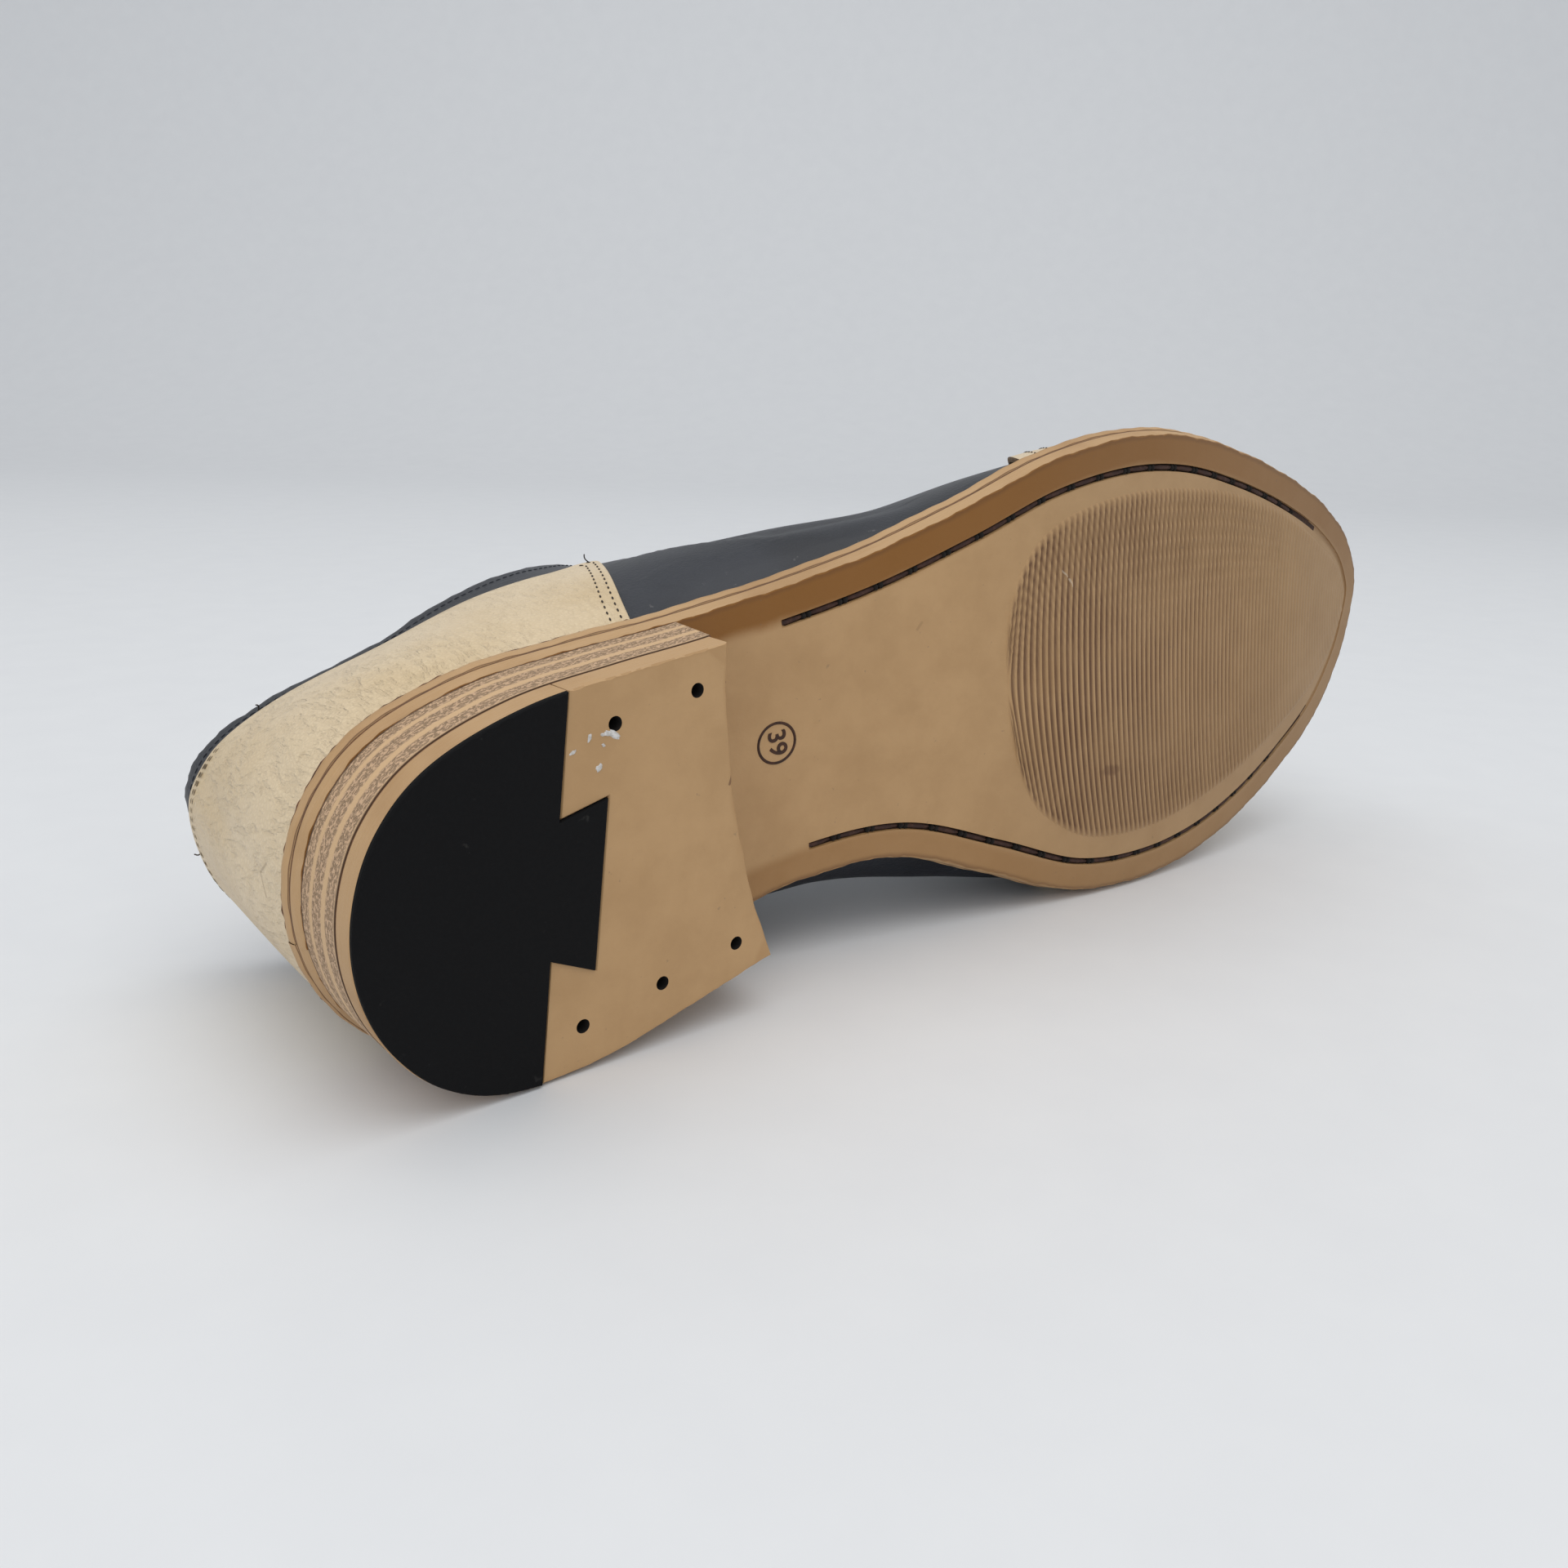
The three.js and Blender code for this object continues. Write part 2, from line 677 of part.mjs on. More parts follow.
function upperPoint(position, share) {
  return lastPoint(position, share * upperEdge(position));
}

// The same surface in the upper's own flat facets, which the cap and the counter lie on.
function facetPoint(position, share) {
  const before = Math.floor(position / ringStep) * ringStep;
  const below = Math.min(Math.floor(share * profileSteps), profileSteps - 1) / profileSteps;
  const across = (position - before) / ringStep;
  const upwards = (share - below) * profileSteps;
  const [low, high] = [below, below + 1 / profileSteps].map((height) => (
    upperPoint(before, height).lerp(upperPoint(before + ringStep, height), across)
  ));
  return low.lerp(high, upwards);
}

function upperShell() {
  const rows = ringStations(0, ringRows).map((w) => profileShares.map((share) => [w, share]));
  return toManifold(shell(rows, -upperWall, 0, upperPoint));
}

// Heel counter: round the heel, nearly up to the collar at the back and lower at the sides,
// ending in a slanted front edge with a rounded top corner.
const counterBackShare = 0.9;
const counterSideShare = 0.69;
const counterFrontRow = 5.8;
const counterFrontLean = 0.75;
const counterCorner = 0.16;
const counterCornerCut = 0.35;
const counterTopFall = 0.8;
const counterStations = 7;
function counterTopAt(row) {
  const behind = Math.max(0, 1 - row / counterFrontRow);
  return counterSideShare + (counterBackShare - counterSideShare) * behind ** counterTopFall;
}

function counterFrontAt(share) {
  const high = share / counterSideShare;
  const corner = Math.max(0, (high - (1 - counterCorner)) / counterCorner);
  return counterFrontRow + counterFrontLean * high - counterCornerCut * corner ** 2;
}

function heelCounter() {
  const rows = ringStations(-counterStations, counterStations).map((w) => profileShares.map((raw) => {
    const share = Math.min(raw, counterTopAt(Math.abs(w)));
    const limit = counterFrontAt(share);
    return [Math.sign(w) * Math.min(Math.abs(w), limit), share];
  }));
  return shell(rows, overlayGap, overlayGap + overlayThickness, facetPoint);
}

// Toe cap: its rear edge runs far back along both sides and curves forward over the vamp.
const capSideRow = 10;
const capTopRow = 13.3;
const capSweep = 1.6;
function capRearAt(share) {
  return capSideRow + (capTopRow - capSideRow) * Math.sin(share * Math.PI / 2) ** capSweep;
}

function toeCap() {
  const first = Math.floor(capSideRow);
  const rows = ringStations(first, ringRows - first).map((w) => profileShares.map((share) => {
    const rear = capRearAt(share);
    return [Math.min(Math.max(w, rear), ringRows - rear), share];
  }));
  return shell(rows, overlayGap, overlayGap + overlayThickness, facetPoint);
}

// Facings: the two eyelet strips beside the throat, wide at the collar and narrow at the vamp.
const facingTopRow = 7.5;
const facingEndRow = 12;
const facingTopWidth = 24;
const facingEndWidth = 8;
const facingEdgeSetBack = 0.3;
const facingEndRoundness = 4;
const facingSteps = 6;
function facing(side) {
  const rows = ringStations(facingTopRow, facingEndRow).map((row) => {
    const w = side < 0 ? row : ringRows - row;
    const ahead = (row - facingTopRow) / (facingEndRow - facingTopRow);
    const rounded = Math.sqrt(1 - (0.95 * ahead) ** facingEndRoundness);
    const width = (facingTopWidth + (facingEndWidth - facingTopWidth) * ahead) * rounded;
    const edge = shareBelow(w, upperEdge(w), facingEdgeSetBack);
    const inner = shareBelow(w, edge, width);
    return sharesInSteps(facingSteps).map((t) => [w, inner + (edge - inner) * t]);
  });
  const outside = overlayGap + facingThickness;
  return toManifold(shell(side < 0 ? rows : rows.reverse(), overlayGap, outside, lastPoint));
}

// Tongue: lies under the throat on the last, and stands out above the facings.
const tongueEndRow = 12.5;
const tongueSideShare = 0.68;
const tongueTopShare = 0.9;
const tongueFullRow = 9.5;
const tongueSteps = 4;
function tonguePoint(position, share) {
  const [row, side] = ringPlace(position);
  if (row >= collarFrontRow) {
    return lastPoint(position, share);
  }
  const onRing = (r) => (side < 0 ? r : ringRows - r);
  const base = lastPoint(onRing(collarFrontRow), share);
  const ridge = lastPoint(onRing(collarFrontRow), 1);
  const along = ridge.sub(lastPoint(onRing(collarFrontRow + ringStep), 1)).normalize();
  return base.addScaledVector(along, (collarFrontRow - row) * tongueStandsOut);
}

function tongue() {
  const topRow = collarFrontRow - 1;
  const rows = ringStations(topRow, tongueEndRow).map((row) => {
    const narrowing = Math.max(0, tongueFullRow - row) / (tongueFullRow - topRow);
    const side = tongueSideShare + (tongueTopShare - tongueSideShare) * narrowing;
    const shares = sharesInSteps(tongueSteps).map((t) => side + (1 - side) * t);
    return [
      ...shares.map((share) => [row, share]),
      ...shares.slice(0, -1).reverse().map((share) => [ringRows - row, share]),
    ];
  });
  const outside = -upperWall - tongueGap;
  return shell(rows, outside - tongueThickness, outside, tonguePoint);
}

// Lacing: places of the eyelets, with their outward direction, on either facing.
const eyeletFirstRow = 8.35;
const eyeletLastRow = 11.1;
function eyeletPlace(side, number) {
  const row = eyeletFirstRow + (eyeletLastRow - eyeletFirstRow) * number / (eyeletPairs - 1);
  const w = side < 0 ? row : ringRows - row;
  const share = shareBelow(w, upperEdge(w), eyeletEdgeDistance);
  return { centre: lastPoint(w, share), normal: surfaceNormal(lastPoint, w, share) };
}

function placeAlong(geometry, { centre, normal }, height) {
  const turn = new THREE.Quaternion().setFromUnitVectors(new THREE.Vector3(0, 0, 1), normal);
  const spot = centre.clone().addScaledVector(normal, height);
  return geometry.applyQuaternion(turn).translate(spot.x, spot.y, spot.z);
}

function eyeletHoles(side) {
  const reach = 4 * (upperWall + facingThickness);
  return Array.from({ length: eyeletPairs }, (_, i) => {
    const radius = eyeletBore / 2 + eyeletWall + seatGap;
    const drill = new THREE.CylinderGeometry(radius, radius, reach, eyeletSides).rotateX(Math.PI / 2);
    return toManifold(placeAlong(drill, eyeletPlace(side, i), 0));
  });
}

const facingSurface = overlayGap + facingThickness;
const eyeletSeat = facingSurface + seatGap;
function eyelet(side, number) {
  const bore = eyeletBore / 2;
  const profile = [
    [bore, -upperWall],
    [bore + eyeletWall, -upperWall],
    [bore + eyeletWall, eyeletSeat],
    [eyeletFlange / 2, eyeletSeat],
    [eyeletFlange / 2 - eyeletBevel, eyeletSeat + eyeletFlangeThickness],
    [bore + eyeletLip, eyeletSeat + eyeletFlangeThickness],
    [bore, -upperWall],
  ].map(([radius, height]) => new THREE.Vector2(radius, height));
  const ring = new THREE.LatheGeometry(profile, eyeletSides).rotateX(Math.PI / 2);
  const plain = ring.deleteAttribute('normal').deleteAttribute('uv');
  return placeAlong(mergeVertices(plain, 1e-4), eyeletPlace(side, number), 0);
}

// A lace bar: a flat cord that lies over both facings and ends over the eyelets.
function laceBar(number) {
  const height = eyeletSeat + eyeletFlangeThickness + seatGap + laceThickness / 2;
  const ends = [-1, 1].map((side) => eyeletPlace(side, number));
  const [left, right] = ends.map(({ centre, normal }) => centre.clone().addScaledVector(normal, height));
  const lift = ends[0].normal.clone().add(ends[1].normal).normalize();
  const forward = right.clone().sub(left).cross(lift).normalize();
  const span = right.clone().sub(left);
  const [leftHandle, rightHandle] = ends.map(({ normal }) => (
    span.clone().projectOnPlane(normal).setLength(span.length() / 3)
  ));
  const route = new THREE.CubicBezierCurve3(
    left,
    left.clone().add(leftHandle),
    right.clone().sub(rightHandle),
    right,
  );
  const vertices = [];
  const index = [];
  for (let i = 0; i <= laceSteps; i += 1) {
    const middle = route.getPoint(i / laceSteps);
    for (let k = 0; k < laceSides; k += 1) {
      const angle = 2 * Math.PI * (k + 0.5) / laceSides;
      const p = middle.clone()
        .addScaledVector(forward, Math.cos(angle) * laceWidth / 2)
        .addScaledVector(lift, Math.sin(angle) * laceThickness / 2);
      vertices.push(...p.toArray());
    }
  }
  for (let i = 0; i < laceSteps; i += 1) {
    for (let k = 0; k < laceSides; k += 1) {
      const next = (k + 1) % laceSides;
      const [a, b] = [i * laceSides + k, i * laceSides + next];
      index.push(a, b + laceSides, b, a, a + laceSides, b + laceSides);
    }
  }
  const far = laceSteps * laceSides;
  for (let k = 1; k + 1 < laceSides; k += 1) {
    index.push(0, k, k + 1, far, far + k + 1, far + k);
  }
  return closedGeometry(vertices, index);
}

// Materials
function leather(color, roughness) {
  return new THREE.MeshStandardMaterial({ color, roughness, metalness: 0 });
}
const creamLeather = leather(0xd9c9a6, 0.5);
const navyLeather = leather(0x23262e, 0.4);
const soleLeather = leather(0xbe9669, 0.7);
const stackLeather = leather(0xa88a70, 0.8);
const liningLeather = leather(0xc9ab84, 0.8);
const heelRubberBlack = leather(0x0c0c0d, 0.9);
const laceCotton = leather(0x1c1d22, 0.9);
const eyeletMetal = new THREE.MeshStandardMaterial({ color: 0x30302f, roughness: 0.4, metalness: 0.9 });

const shoe = new THREE.Group();
function addPiece(name, geometry, material) {
  const mesh = new THREE.Mesh(geometry, material);
  mesh.name = name;
  shoe.add(mesh);
}

addPiece('heel_rubber', heelRubber(), heelRubberBlack);
addPiece('top_lift', topLift(), soleLeather);
addPiece('heel_stack', heelStack(), stackLeather);
addPiece('outsole', outsole(), soleLeather);
addPiece('midsole', midsole(), soleLeather);
addPiece('insole', insole(), liningLeather);

const bothHoles = [...eyeletHoles(-1), ...eyeletHoles(1)];
const piercedUpper = bothHoles.reduce((solid, hole) => solid.subtract(hole), upperShell());
addPiece('upper', fromManifold(piercedUpper), navyLeather);
addPiece('heel_counter', heelCounter(), creamLeather);
addPiece('toe_cap', toeCap(), creamLeather);
addPiece('tongue', tongue(), navyLeather);
for (const [side, name] of [[-1, 'lateral'], [1, 'medial']]) {
  const strip = eyeletHoles(side).reduce((solid, hole) => solid.subtract(hole), facing(side));
  addPiece(`facing_${name}`, fromManifold(strip), navyLeather);
  for (let i = 0; i < eyeletPairs; i += 1) {
    addPiece(`eyelet_${name}_${i + 1}`, eyelet(side, i), eyeletMetal);
  }
}
for (let i = 0; i < eyeletPairs; i += 1) {
  addPiece(`lace_bar_${i + 1}`, laceBar(i), laceCotton);
}

// Laying down onto the inner side, and level between its three points of rest
const degrees = THREE.MathUtils.degToRad;
shoe.rotation.x = degrees(-restRoll);
const laid = new THREE.Group();
laid.rotation.y = degrees(-restRise);
laid.add(shoe);

const part = new THREE.Group();
part.add(laid);
part.updateMatrixWorld(true);
const box = new THREE.Box3().setFromObject(part, true);
const middle = box.getCenter(new THREE.Vector3());
laid.position.set(-middle.x, -middle.y, -box.min.z);

export default part;
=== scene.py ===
"""A right-foot leather oxford in two colours, lying on its inner side with the sole showing.

The shoe is built standing, in millimetres: X from heel to toe, Y towards the inner side, Z up.
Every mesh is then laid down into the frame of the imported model, in metres.
"""

import logging
import math
from dataclasses import dataclass, field
from enum import Enum
from typing import Callable, NamedTuple, Sequence

import bmesh
import bpy
import numpy as np
from mathutils import Matrix, Vector
from mathutils.geometry import delaunay_2d_cdt

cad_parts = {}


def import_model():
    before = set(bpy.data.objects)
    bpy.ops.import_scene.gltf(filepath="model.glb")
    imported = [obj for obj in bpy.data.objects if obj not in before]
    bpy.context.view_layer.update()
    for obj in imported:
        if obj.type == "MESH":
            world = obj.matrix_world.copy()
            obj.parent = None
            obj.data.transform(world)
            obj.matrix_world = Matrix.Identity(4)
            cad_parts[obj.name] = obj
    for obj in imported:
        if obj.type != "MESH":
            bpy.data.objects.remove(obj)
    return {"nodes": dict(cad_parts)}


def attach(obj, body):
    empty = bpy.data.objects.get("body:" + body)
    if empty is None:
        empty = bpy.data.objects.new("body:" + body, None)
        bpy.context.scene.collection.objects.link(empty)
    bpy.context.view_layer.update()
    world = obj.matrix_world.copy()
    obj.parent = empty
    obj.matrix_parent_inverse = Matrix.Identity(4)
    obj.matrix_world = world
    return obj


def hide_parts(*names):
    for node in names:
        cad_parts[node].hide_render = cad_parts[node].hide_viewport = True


LOG = logging.getLogger("oxford")
BODY = "root"
MM = 0.001
# Metres within which two points become one
WELD = 2e-6
# A face is a wall when its normal rises by less than this
UPRIGHT = 0.6

Colour = tuple[float, float, float]
Array = np.ndarray


class OutlineRow(NamedTuple):
    """Half widths of the outsole at one place, as shares of the local width."""

    along: float
    heel: float
    lateral: float
    medial: float


class WaistRow(NamedTuple):
    """Height of the outsole's underside, as a share of the heel rise."""

    along: float
    rise: float


class TopRow(NamedTuple):
    """Top of the last at one section: its place, half opening and height, as shares."""

    along: float
    centre: float
    opening: float
    collar: float
    instep: float
    toe: float


class SideRow(NamedTuple):
    """Side of the last at one section: the handles of its curve and its swell, as shares."""

    rise: float
    reach: float
    drop: float
    lateral: float
    medial: float


OUTLINE_ROWS = [
    OutlineRow(*row)
    for row in (
        (0.0, 1, 0.0, 0.0), (0.0074, 1, 0.18, 0.18), (0.0296, 1, 0.341, 0.341),
        (0.0666, 1, 0.449, 0.449), (0.1258, 1, 0.497, 0.497), (0.1924, 1, 0.487, 0.487),
        (0.259, 1, 0.467, 0.468), (0.333, 1, 0.467, 0.457), (0.407, 0.5, 0.38, 0.385),
        (0.481, 0, 0.346, 0.4235), (0.555, 0, 0.389, 0.545), (0.629, 0, 0.39, 0.606),
        (0.703, 0, 0.347, 0.6286), (0.777, 0, 0.265, 0.612), (0.851, 0, 0.163, 0.564),
        (0.9175, 0, 0.053, 0.5), (0.969, 0, -0.061, 0.393), (0.9933, 0, -0.153, 0.286),
        (1.0, 0, -0.219, 0.219),
    )
]

WAIST_ROWS = [
    WaistRow(*row)
    for row in (
        (0.0, 1.0), (0.13, 0.985), (0.26, 0.95), (0.33, 0.83), (0.415, 0.56), (0.52, 0.22),
        (0.6, 0.045), (0.66, 0.0), (0.7, 0.0),
    )
]

TOP_ROWS = [
    TopRow(*row)
    for row in (
        (0.012, 0, 0, 1, 0, 0), (0.016, 0, 0.14, 0.993, 0, 0), (0.036, 0, 0.255, 0.955, 0, 0),
        (0.076, 0, 0.352, 0.88, 0, 0), (0.14, 0, 0.42, 0.83, 0, 0), (0.207, 0, 0.48, 0.855, 0, 0),
        (0.274, 0, 0.475, 0.9, 0, 0), (0.34, 0, 0.35, 0, 0.92, 0), (0.4, 0.01, 0, 0, 1, 0),
        (0.459, 0.03, 0, 0, 0.895, 0), (0.518, 0.056, 0, 0, 0.786, 0),
        (0.577, 0.087, 0, 0, 0.69, 0), (0.636, 0.117, 0, 0, 0.605, 0),
        (0.7, 0.143, 0, 0, 0.3, 0.57), (0.762, 0.168, 0, 0, 0, 1.18),
        (0.814, 0.187, 0, 0, 0, 1.09), (0.847, 0.199, 0, 0, 0, 1.04),
        (0.869, 0.205, 0, 0, 0, 1.015), (0.88, 0.207, 0, 0, 0, 1),
    )
]

SIDE_ROWS = [
    SideRow(*row)
    for row in (
        (0.42, 0.2, 0.36, 0.03, 0), (0.42, 0.2, 0.36, 0.03, 0), (0.42, 0.2, 0.36, 0.035, 0),
        (0.42, 0.2, 0.36, 0.05, 0.03), (0.42, 0.2, 0.36, 0.07, 0.08),
        (0.42, 0.2, 0.36, 0.075, 0.18), (0.36, 0.22, 0.34, 0.095, 0.29),
        (0.3, 0.44, 0.2, 0.2, 0.48), (0.26, 0.58, 0.05, 0.22, 0.58),
        (0.28, 0.52, 0.04, 0.1, 0.45), (0.4, 0.48, 0.03, 0.005, 0.28),
        (0.47, 0.46, 0.02, -0.015, 0.15), (0.48, 0.46, 0.02, 0, 0.08),
        (0.5, 0.47, 0.02, 0.01, 0.05), (0.52, 0.48, 0.01, 0.01, 0.04),
        (0.56, 0.48, 0, 0.01, 0.03), (0.6, 0.48, 0, 0.02, 0.03), (0.62, 0.48, 0, 0.02, 0.02),
        (0.62, 0.48, 0, 0.02, 0.02),
    )
]

LAST_ROW = len(OUTLINE_ROWS) - 1
RING_ROWS = 2 * LAST_ROW


def ring_values(pick: Callable[[int, int], float]) -> Array:
    """Lists a value for every row round the shoe, along the outer side and back on the inner.

    Args:
        pick: Gives the value from a row's number and its side, -1 outer or 1 inner.

    Returns:
        One number for each ring row.
    """
    numbers = []
    for index in range(RING_ROWS):
        if index <= LAST_ROW:
            numbers.append(pick(index, -1))
        else:
            numbers.append(pick(RING_ROWS - index, 1))
    return np.array(numbers, float)


def through(before: Array, start: Array, end: Array, after: Array, t: Array) -> Array:
    """A smooth curve from start to end, at shares t of the way.

    Args:
        before: The points before the start.
        start: The points at a share of 0.
        end: The points at a share of 1.
        after: The points after the end.
        t: The shares.

    Returns:
        The points of the curve.
    """
    bend = 2 * before - 5 * start + 4 * end - after
    twist = 3 * start - before - 3 * end + after
    return 0.5 * (2 * start + (end - before) * t + bend * t**2 + twist * t**3)


def ring_blend(values: Array, ring: Array) -> Array:
    """Reads ring values smoothly between their rows.

    Args:
        values: One number for each ring row.
        ring: Places on the ring, in rows.

    Returns:
        The blended numbers, in the shape of ring.
    """
    first = np.floor(ring).astype(int)
    nearby = (values[(first + step) % RING_ROWS] for step in (-1, 0, 1, 2))
    return through(*nearby, ring - first)


def ring_row(ring: Array) -> Array:
    """Distance from the heel in rows, whichever side the place is on."""
    wrapped = np.mod(ring, RING_ROWS)
    return np.minimum(wrapped, RING_ROWS - wrapped)


def smoothstep(low: float, high: float, value: Array) -> Array:
    """A soft step from 0 at low to 1 at high."""
    t = np.clip((value - low) / (high - low), 0, 1)
    return t * t * (3 - 2 * t)


def ripple(place: Array, waves: Sequence[tuple[float, float]], seed: int) -> Array:
    """Adds a few sine waves with fixed random phases.

    Args:
        place: Where to read, in millimetres along the edge.
        waves: Wavelength and height of each wave, in millimetres.
        seed: Seed of the phases.

    Returns:
        The sum at each place.
    """
    phases = np.random.default_rng(seed).uniform(0, 2 * math.pi, len(waves))
    total = np.zeros_like(place, dtype=float)
    for (length, height), phase in zip(waves, phases):
        total = total + height * np.sin(2 * math.pi * place / length + phase)
    return total


@dataclass(frozen=True)
class Last:
    """The shape that the upper is pulled over, and the plan and side view of the sole."""

    length: float = 270.3
    ball_width: float = 98
    heel_width: float = 61
    heel_rise: float = 17.7
    toe_spring: float = 7
    spring_start: float = 0.7
    collar_height: float = 76
    instep_height: float = 84
    toe_height: float = 33
    gap: float = 0.3
    outsole: float = 2.6
    outsole_flare: float = 0.5
    midsole: float = 2
    midsole_overhang: float = 0.5
    heel_inset: float = 2
    toe_inset: float = 3.4
    wall: float = 2
    throat_half_width: float = 3.6
    throat_end_roundness: float = 6
    collar_front_row: float = 8
    throat_end_row: float = 11.5

    @property
    def midsole_base(self) -> float:
        """Height of the midsole's underside over the sole's."""
        return self.outsole + self.gap

    @property
    def feather_base(self) -> float:
        """Height of the upper's foot over the sole's underside."""
        return self.midsole_base + self.midsole + self.gap

    def outline(self, ring: Array) -> Array:
        """Plan points of the outsole's lower edge."""
        along = ring_values(lambda i, side: OUTLINE_ROWS[i].along * self.length)

        def across(i: int, side: int) -> float:
            """Place of one row's edge across the shoe."""
            row = OUTLINE_ROWS[i]
            width = row.heel * self.heel_width + (1 - row.heel) * self.ball_width
            return side * width * (row.lateral if side < 0 else row.medial)

        return np.stack([ring_blend(along, ring), ring_blend(ring_values(across), ring)], -1)

    def offset(self, ring: Array, outwards: Array | float) -> Array:
        """Plan points moved outwards from the outsole's lower edge."""
        step = 0.02
        tangent = self.outline(ring + step) - self.outline(ring - step)
        tangent = tangent / np.linalg.norm(tangent, axis=-1, keepdims=True)
        outward = np.stack([tangent[..., 1], -tangent[..., 0]], -1)
        return self.outline(ring) + outward * np.asarray(outwards)[..., None]

    def ground(self, x: Array) -> Array:
        """Height of the outsole's underside along the shoe."""
        along = np.clip(x / self.length, 0, 1.02)
        spring = self.toe_spring * ((along - self.spring_start) / (1 - self.spring_start)) ** 2
        places = np.array([row.along for row in WAIST_ROWS])
        rises = np.array([row.rise for row in WAIST_ROWS])
        slopes = np.zeros(len(places))
        slopes[1:-1] = (rises[2:] - rises[:-2]) / (places[2:] - places[:-2])
        slopes[0] = (rises[1] - rises[0]) / (places[1] - places[0])
        slopes[-1] = (rises[-1] - rises[-2]) / (places[-1] - places[-2])
        i = np.clip(np.searchsorted(places, along, side="right") - 1, 0, len(places) - 2)
        span = places[i + 1] - places[i]
        t = np.clip((along - places[i]) / span, 0, 1)
        rise = rises[i] * (1 - t) ** 2 * (1 + 2 * t) + rises[i + 1] * t * t * (3 - 2 * t)
        rise = rise + span * (slopes[i] * t * (1 - t) ** 2 - slopes[i + 1] * t * t * (1 - t))
        waist = self.heel_rise * np.maximum(rise, 0)
        return np.where(along >= self.spring_start, spring, waist)

    def feather(self, ring: Array) -> Array:
        """How far the upper's foot stands outside the outsole's lower edge."""
        heel = ring_blend(ring_values(lambda i, side: OUTLINE_ROWS[i].heel), ring)
        inset = heel * self.heel_inset + (1 - heel) * self.toe_inset
        return self.outsole_flare + self.midsole_overhang - inset

    def point(self, ring: Array, share: Array) -> Array:
        """Points of the last's surface.

        Args:
            ring: Places on the ring, in rows.
            share: Places from the feather edge, 0, to the top, 1.

        Returns:
            An array of points, in the shape of ring and share.
        """
        ring, share = np.broadcast_arrays(np.asarray(ring, float), np.asarray(share, float))

        def top(name: str) -> Array:
            """One column of the top rows, blended."""
            return ring_blend(ring_values(lambda i, side: getattr(TOP_ROWS[i], name)), ring)

        def flank(name: str) -> Array:
            """One column of the side rows, blended."""
            return ring_blend(ring_values(lambda i, side: getattr(SIDE_ROWS[i], name)), ring)

        opening = ring_values(lambda i, side: side * TOP_ROWS[i].opening * self.heel_width)
        swell = ring_values(
            lambda i, side: self.heel_width
            * (SIDE_ROWS[i].lateral if side < 0 else SIDE_ROWS[i].medial)
        )
        feather = self.feather(ring)
        foot = self.offset(ring, feather)
        low_handle = self.offset(ring, feather + ring_blend(swell, ring))
        crest = np.stack(
            [
                top("along") * self.length,
                top("centre") * self.ball_width + ring_blend(opening, ring),
            ],
            -1,
        )
        crest_height = (
            top("collar") * self.collar_height
            + top("instep") * self.instep_height
            + top("toe") * self.toe_height
        )
        foot_height = self.ground(foot[..., 0]) + self.feather_base
        climb = crest_height - foot_height
        high_handle = crest + (foot - crest) * flank("reach")[..., None]
        weights = [
            (1 - share) ** 3,
            3 * share * (1 - share) ** 2,
            3 * share**2 * (1 - share),
            share**3,
        ]
        plan = sum(
            w[..., None] * p for w, p in zip(weights, (foot, low_handle, high_handle, crest))
        )
        heights = (
            foot_height,
            foot_height + flank("rise") * climb,
            crest_height - flank("drop") * climb,
            crest_height,
        )
        height = sum(w * h for w, h in zip(weights, heights))
        return np.concatenate([plan, height[..., None]], -1)

    def normal(self, ring: Array, share: Array) -> Array:
        """Outward unit normals, with both sides averaged on the closed ridge."""
        ring, share = np.broadcast_arrays(np.asarray(ring, float), np.asarray(share, float))
        beside_ridge = 0.97
        on_ridge = (share > 0.999) & (ring_row(ring) >= self.throat_end_row)
        held = np.where(on_ridge, beside_ridge, share)
        near = self._slope(ring, held)
        far = self._slope(RING_ROWS - ring, held)
        total = np.where(on_ridge[..., None], near + far, near)
        return total / np.linalg.norm(total, axis=-1, keepdims=True)

    def _slope(self, ring: Array, share: Array) -> Array:
        """Unit normals by small differences."""
        step_ring, step_share = 0.05, 0.01
        around = self.point(ring + step_ring, share) - self.point(ring - step_ring, share)
        upper = np.minimum(share + step_share, 1)
        lower = np.maximum(upper - 2 * step_share, 0)
        up = self.point(ring, upper) - self.point(ring, lower)
        across = np.cross(around, up)
        return across / np.linalg.norm(across, axis=-1, keepdims=True)

    def top_share(self, ring: Array) -> Array:
        """Where the upper ends: 1 at the collar and over the vamp, less along the throat."""
        row = ring_row(ring)
        span = self.throat_end_row - self.collar_front_row
        opened = np.clip(row - self.collar_front_row + 1, 0, 1)
        ahead = np.clip((row - self.collar_front_row) / span, 0, 1)
        rounded = np.sqrt(1 - ahead**self.throat_end_roundness)
        part = 0.1
        reach = np.linalg.norm(self.point(ring, 1.0) - self.point(ring, 1 - part), axis=-1) / part
        closed = (row >= self.throat_end_row) | (row <= self.collar_front_row - 1)
        return np.where(closed, 1.0, 1 - opened * rounded * self.throat_half_width / reach)

    def share_below(self, ring: float, share: float, distance: float) -> float:
        """The share at which a section lies this far below another share of it."""
        shares = np.linspace(share, 0, 240)
        points = self.point(np.full(shares.shape, ring), shares)
        away = np.linalg.norm(points - points[0], axis=-1)
        return float(np.interp(distance, np.maximum.accumulate(away), shares))

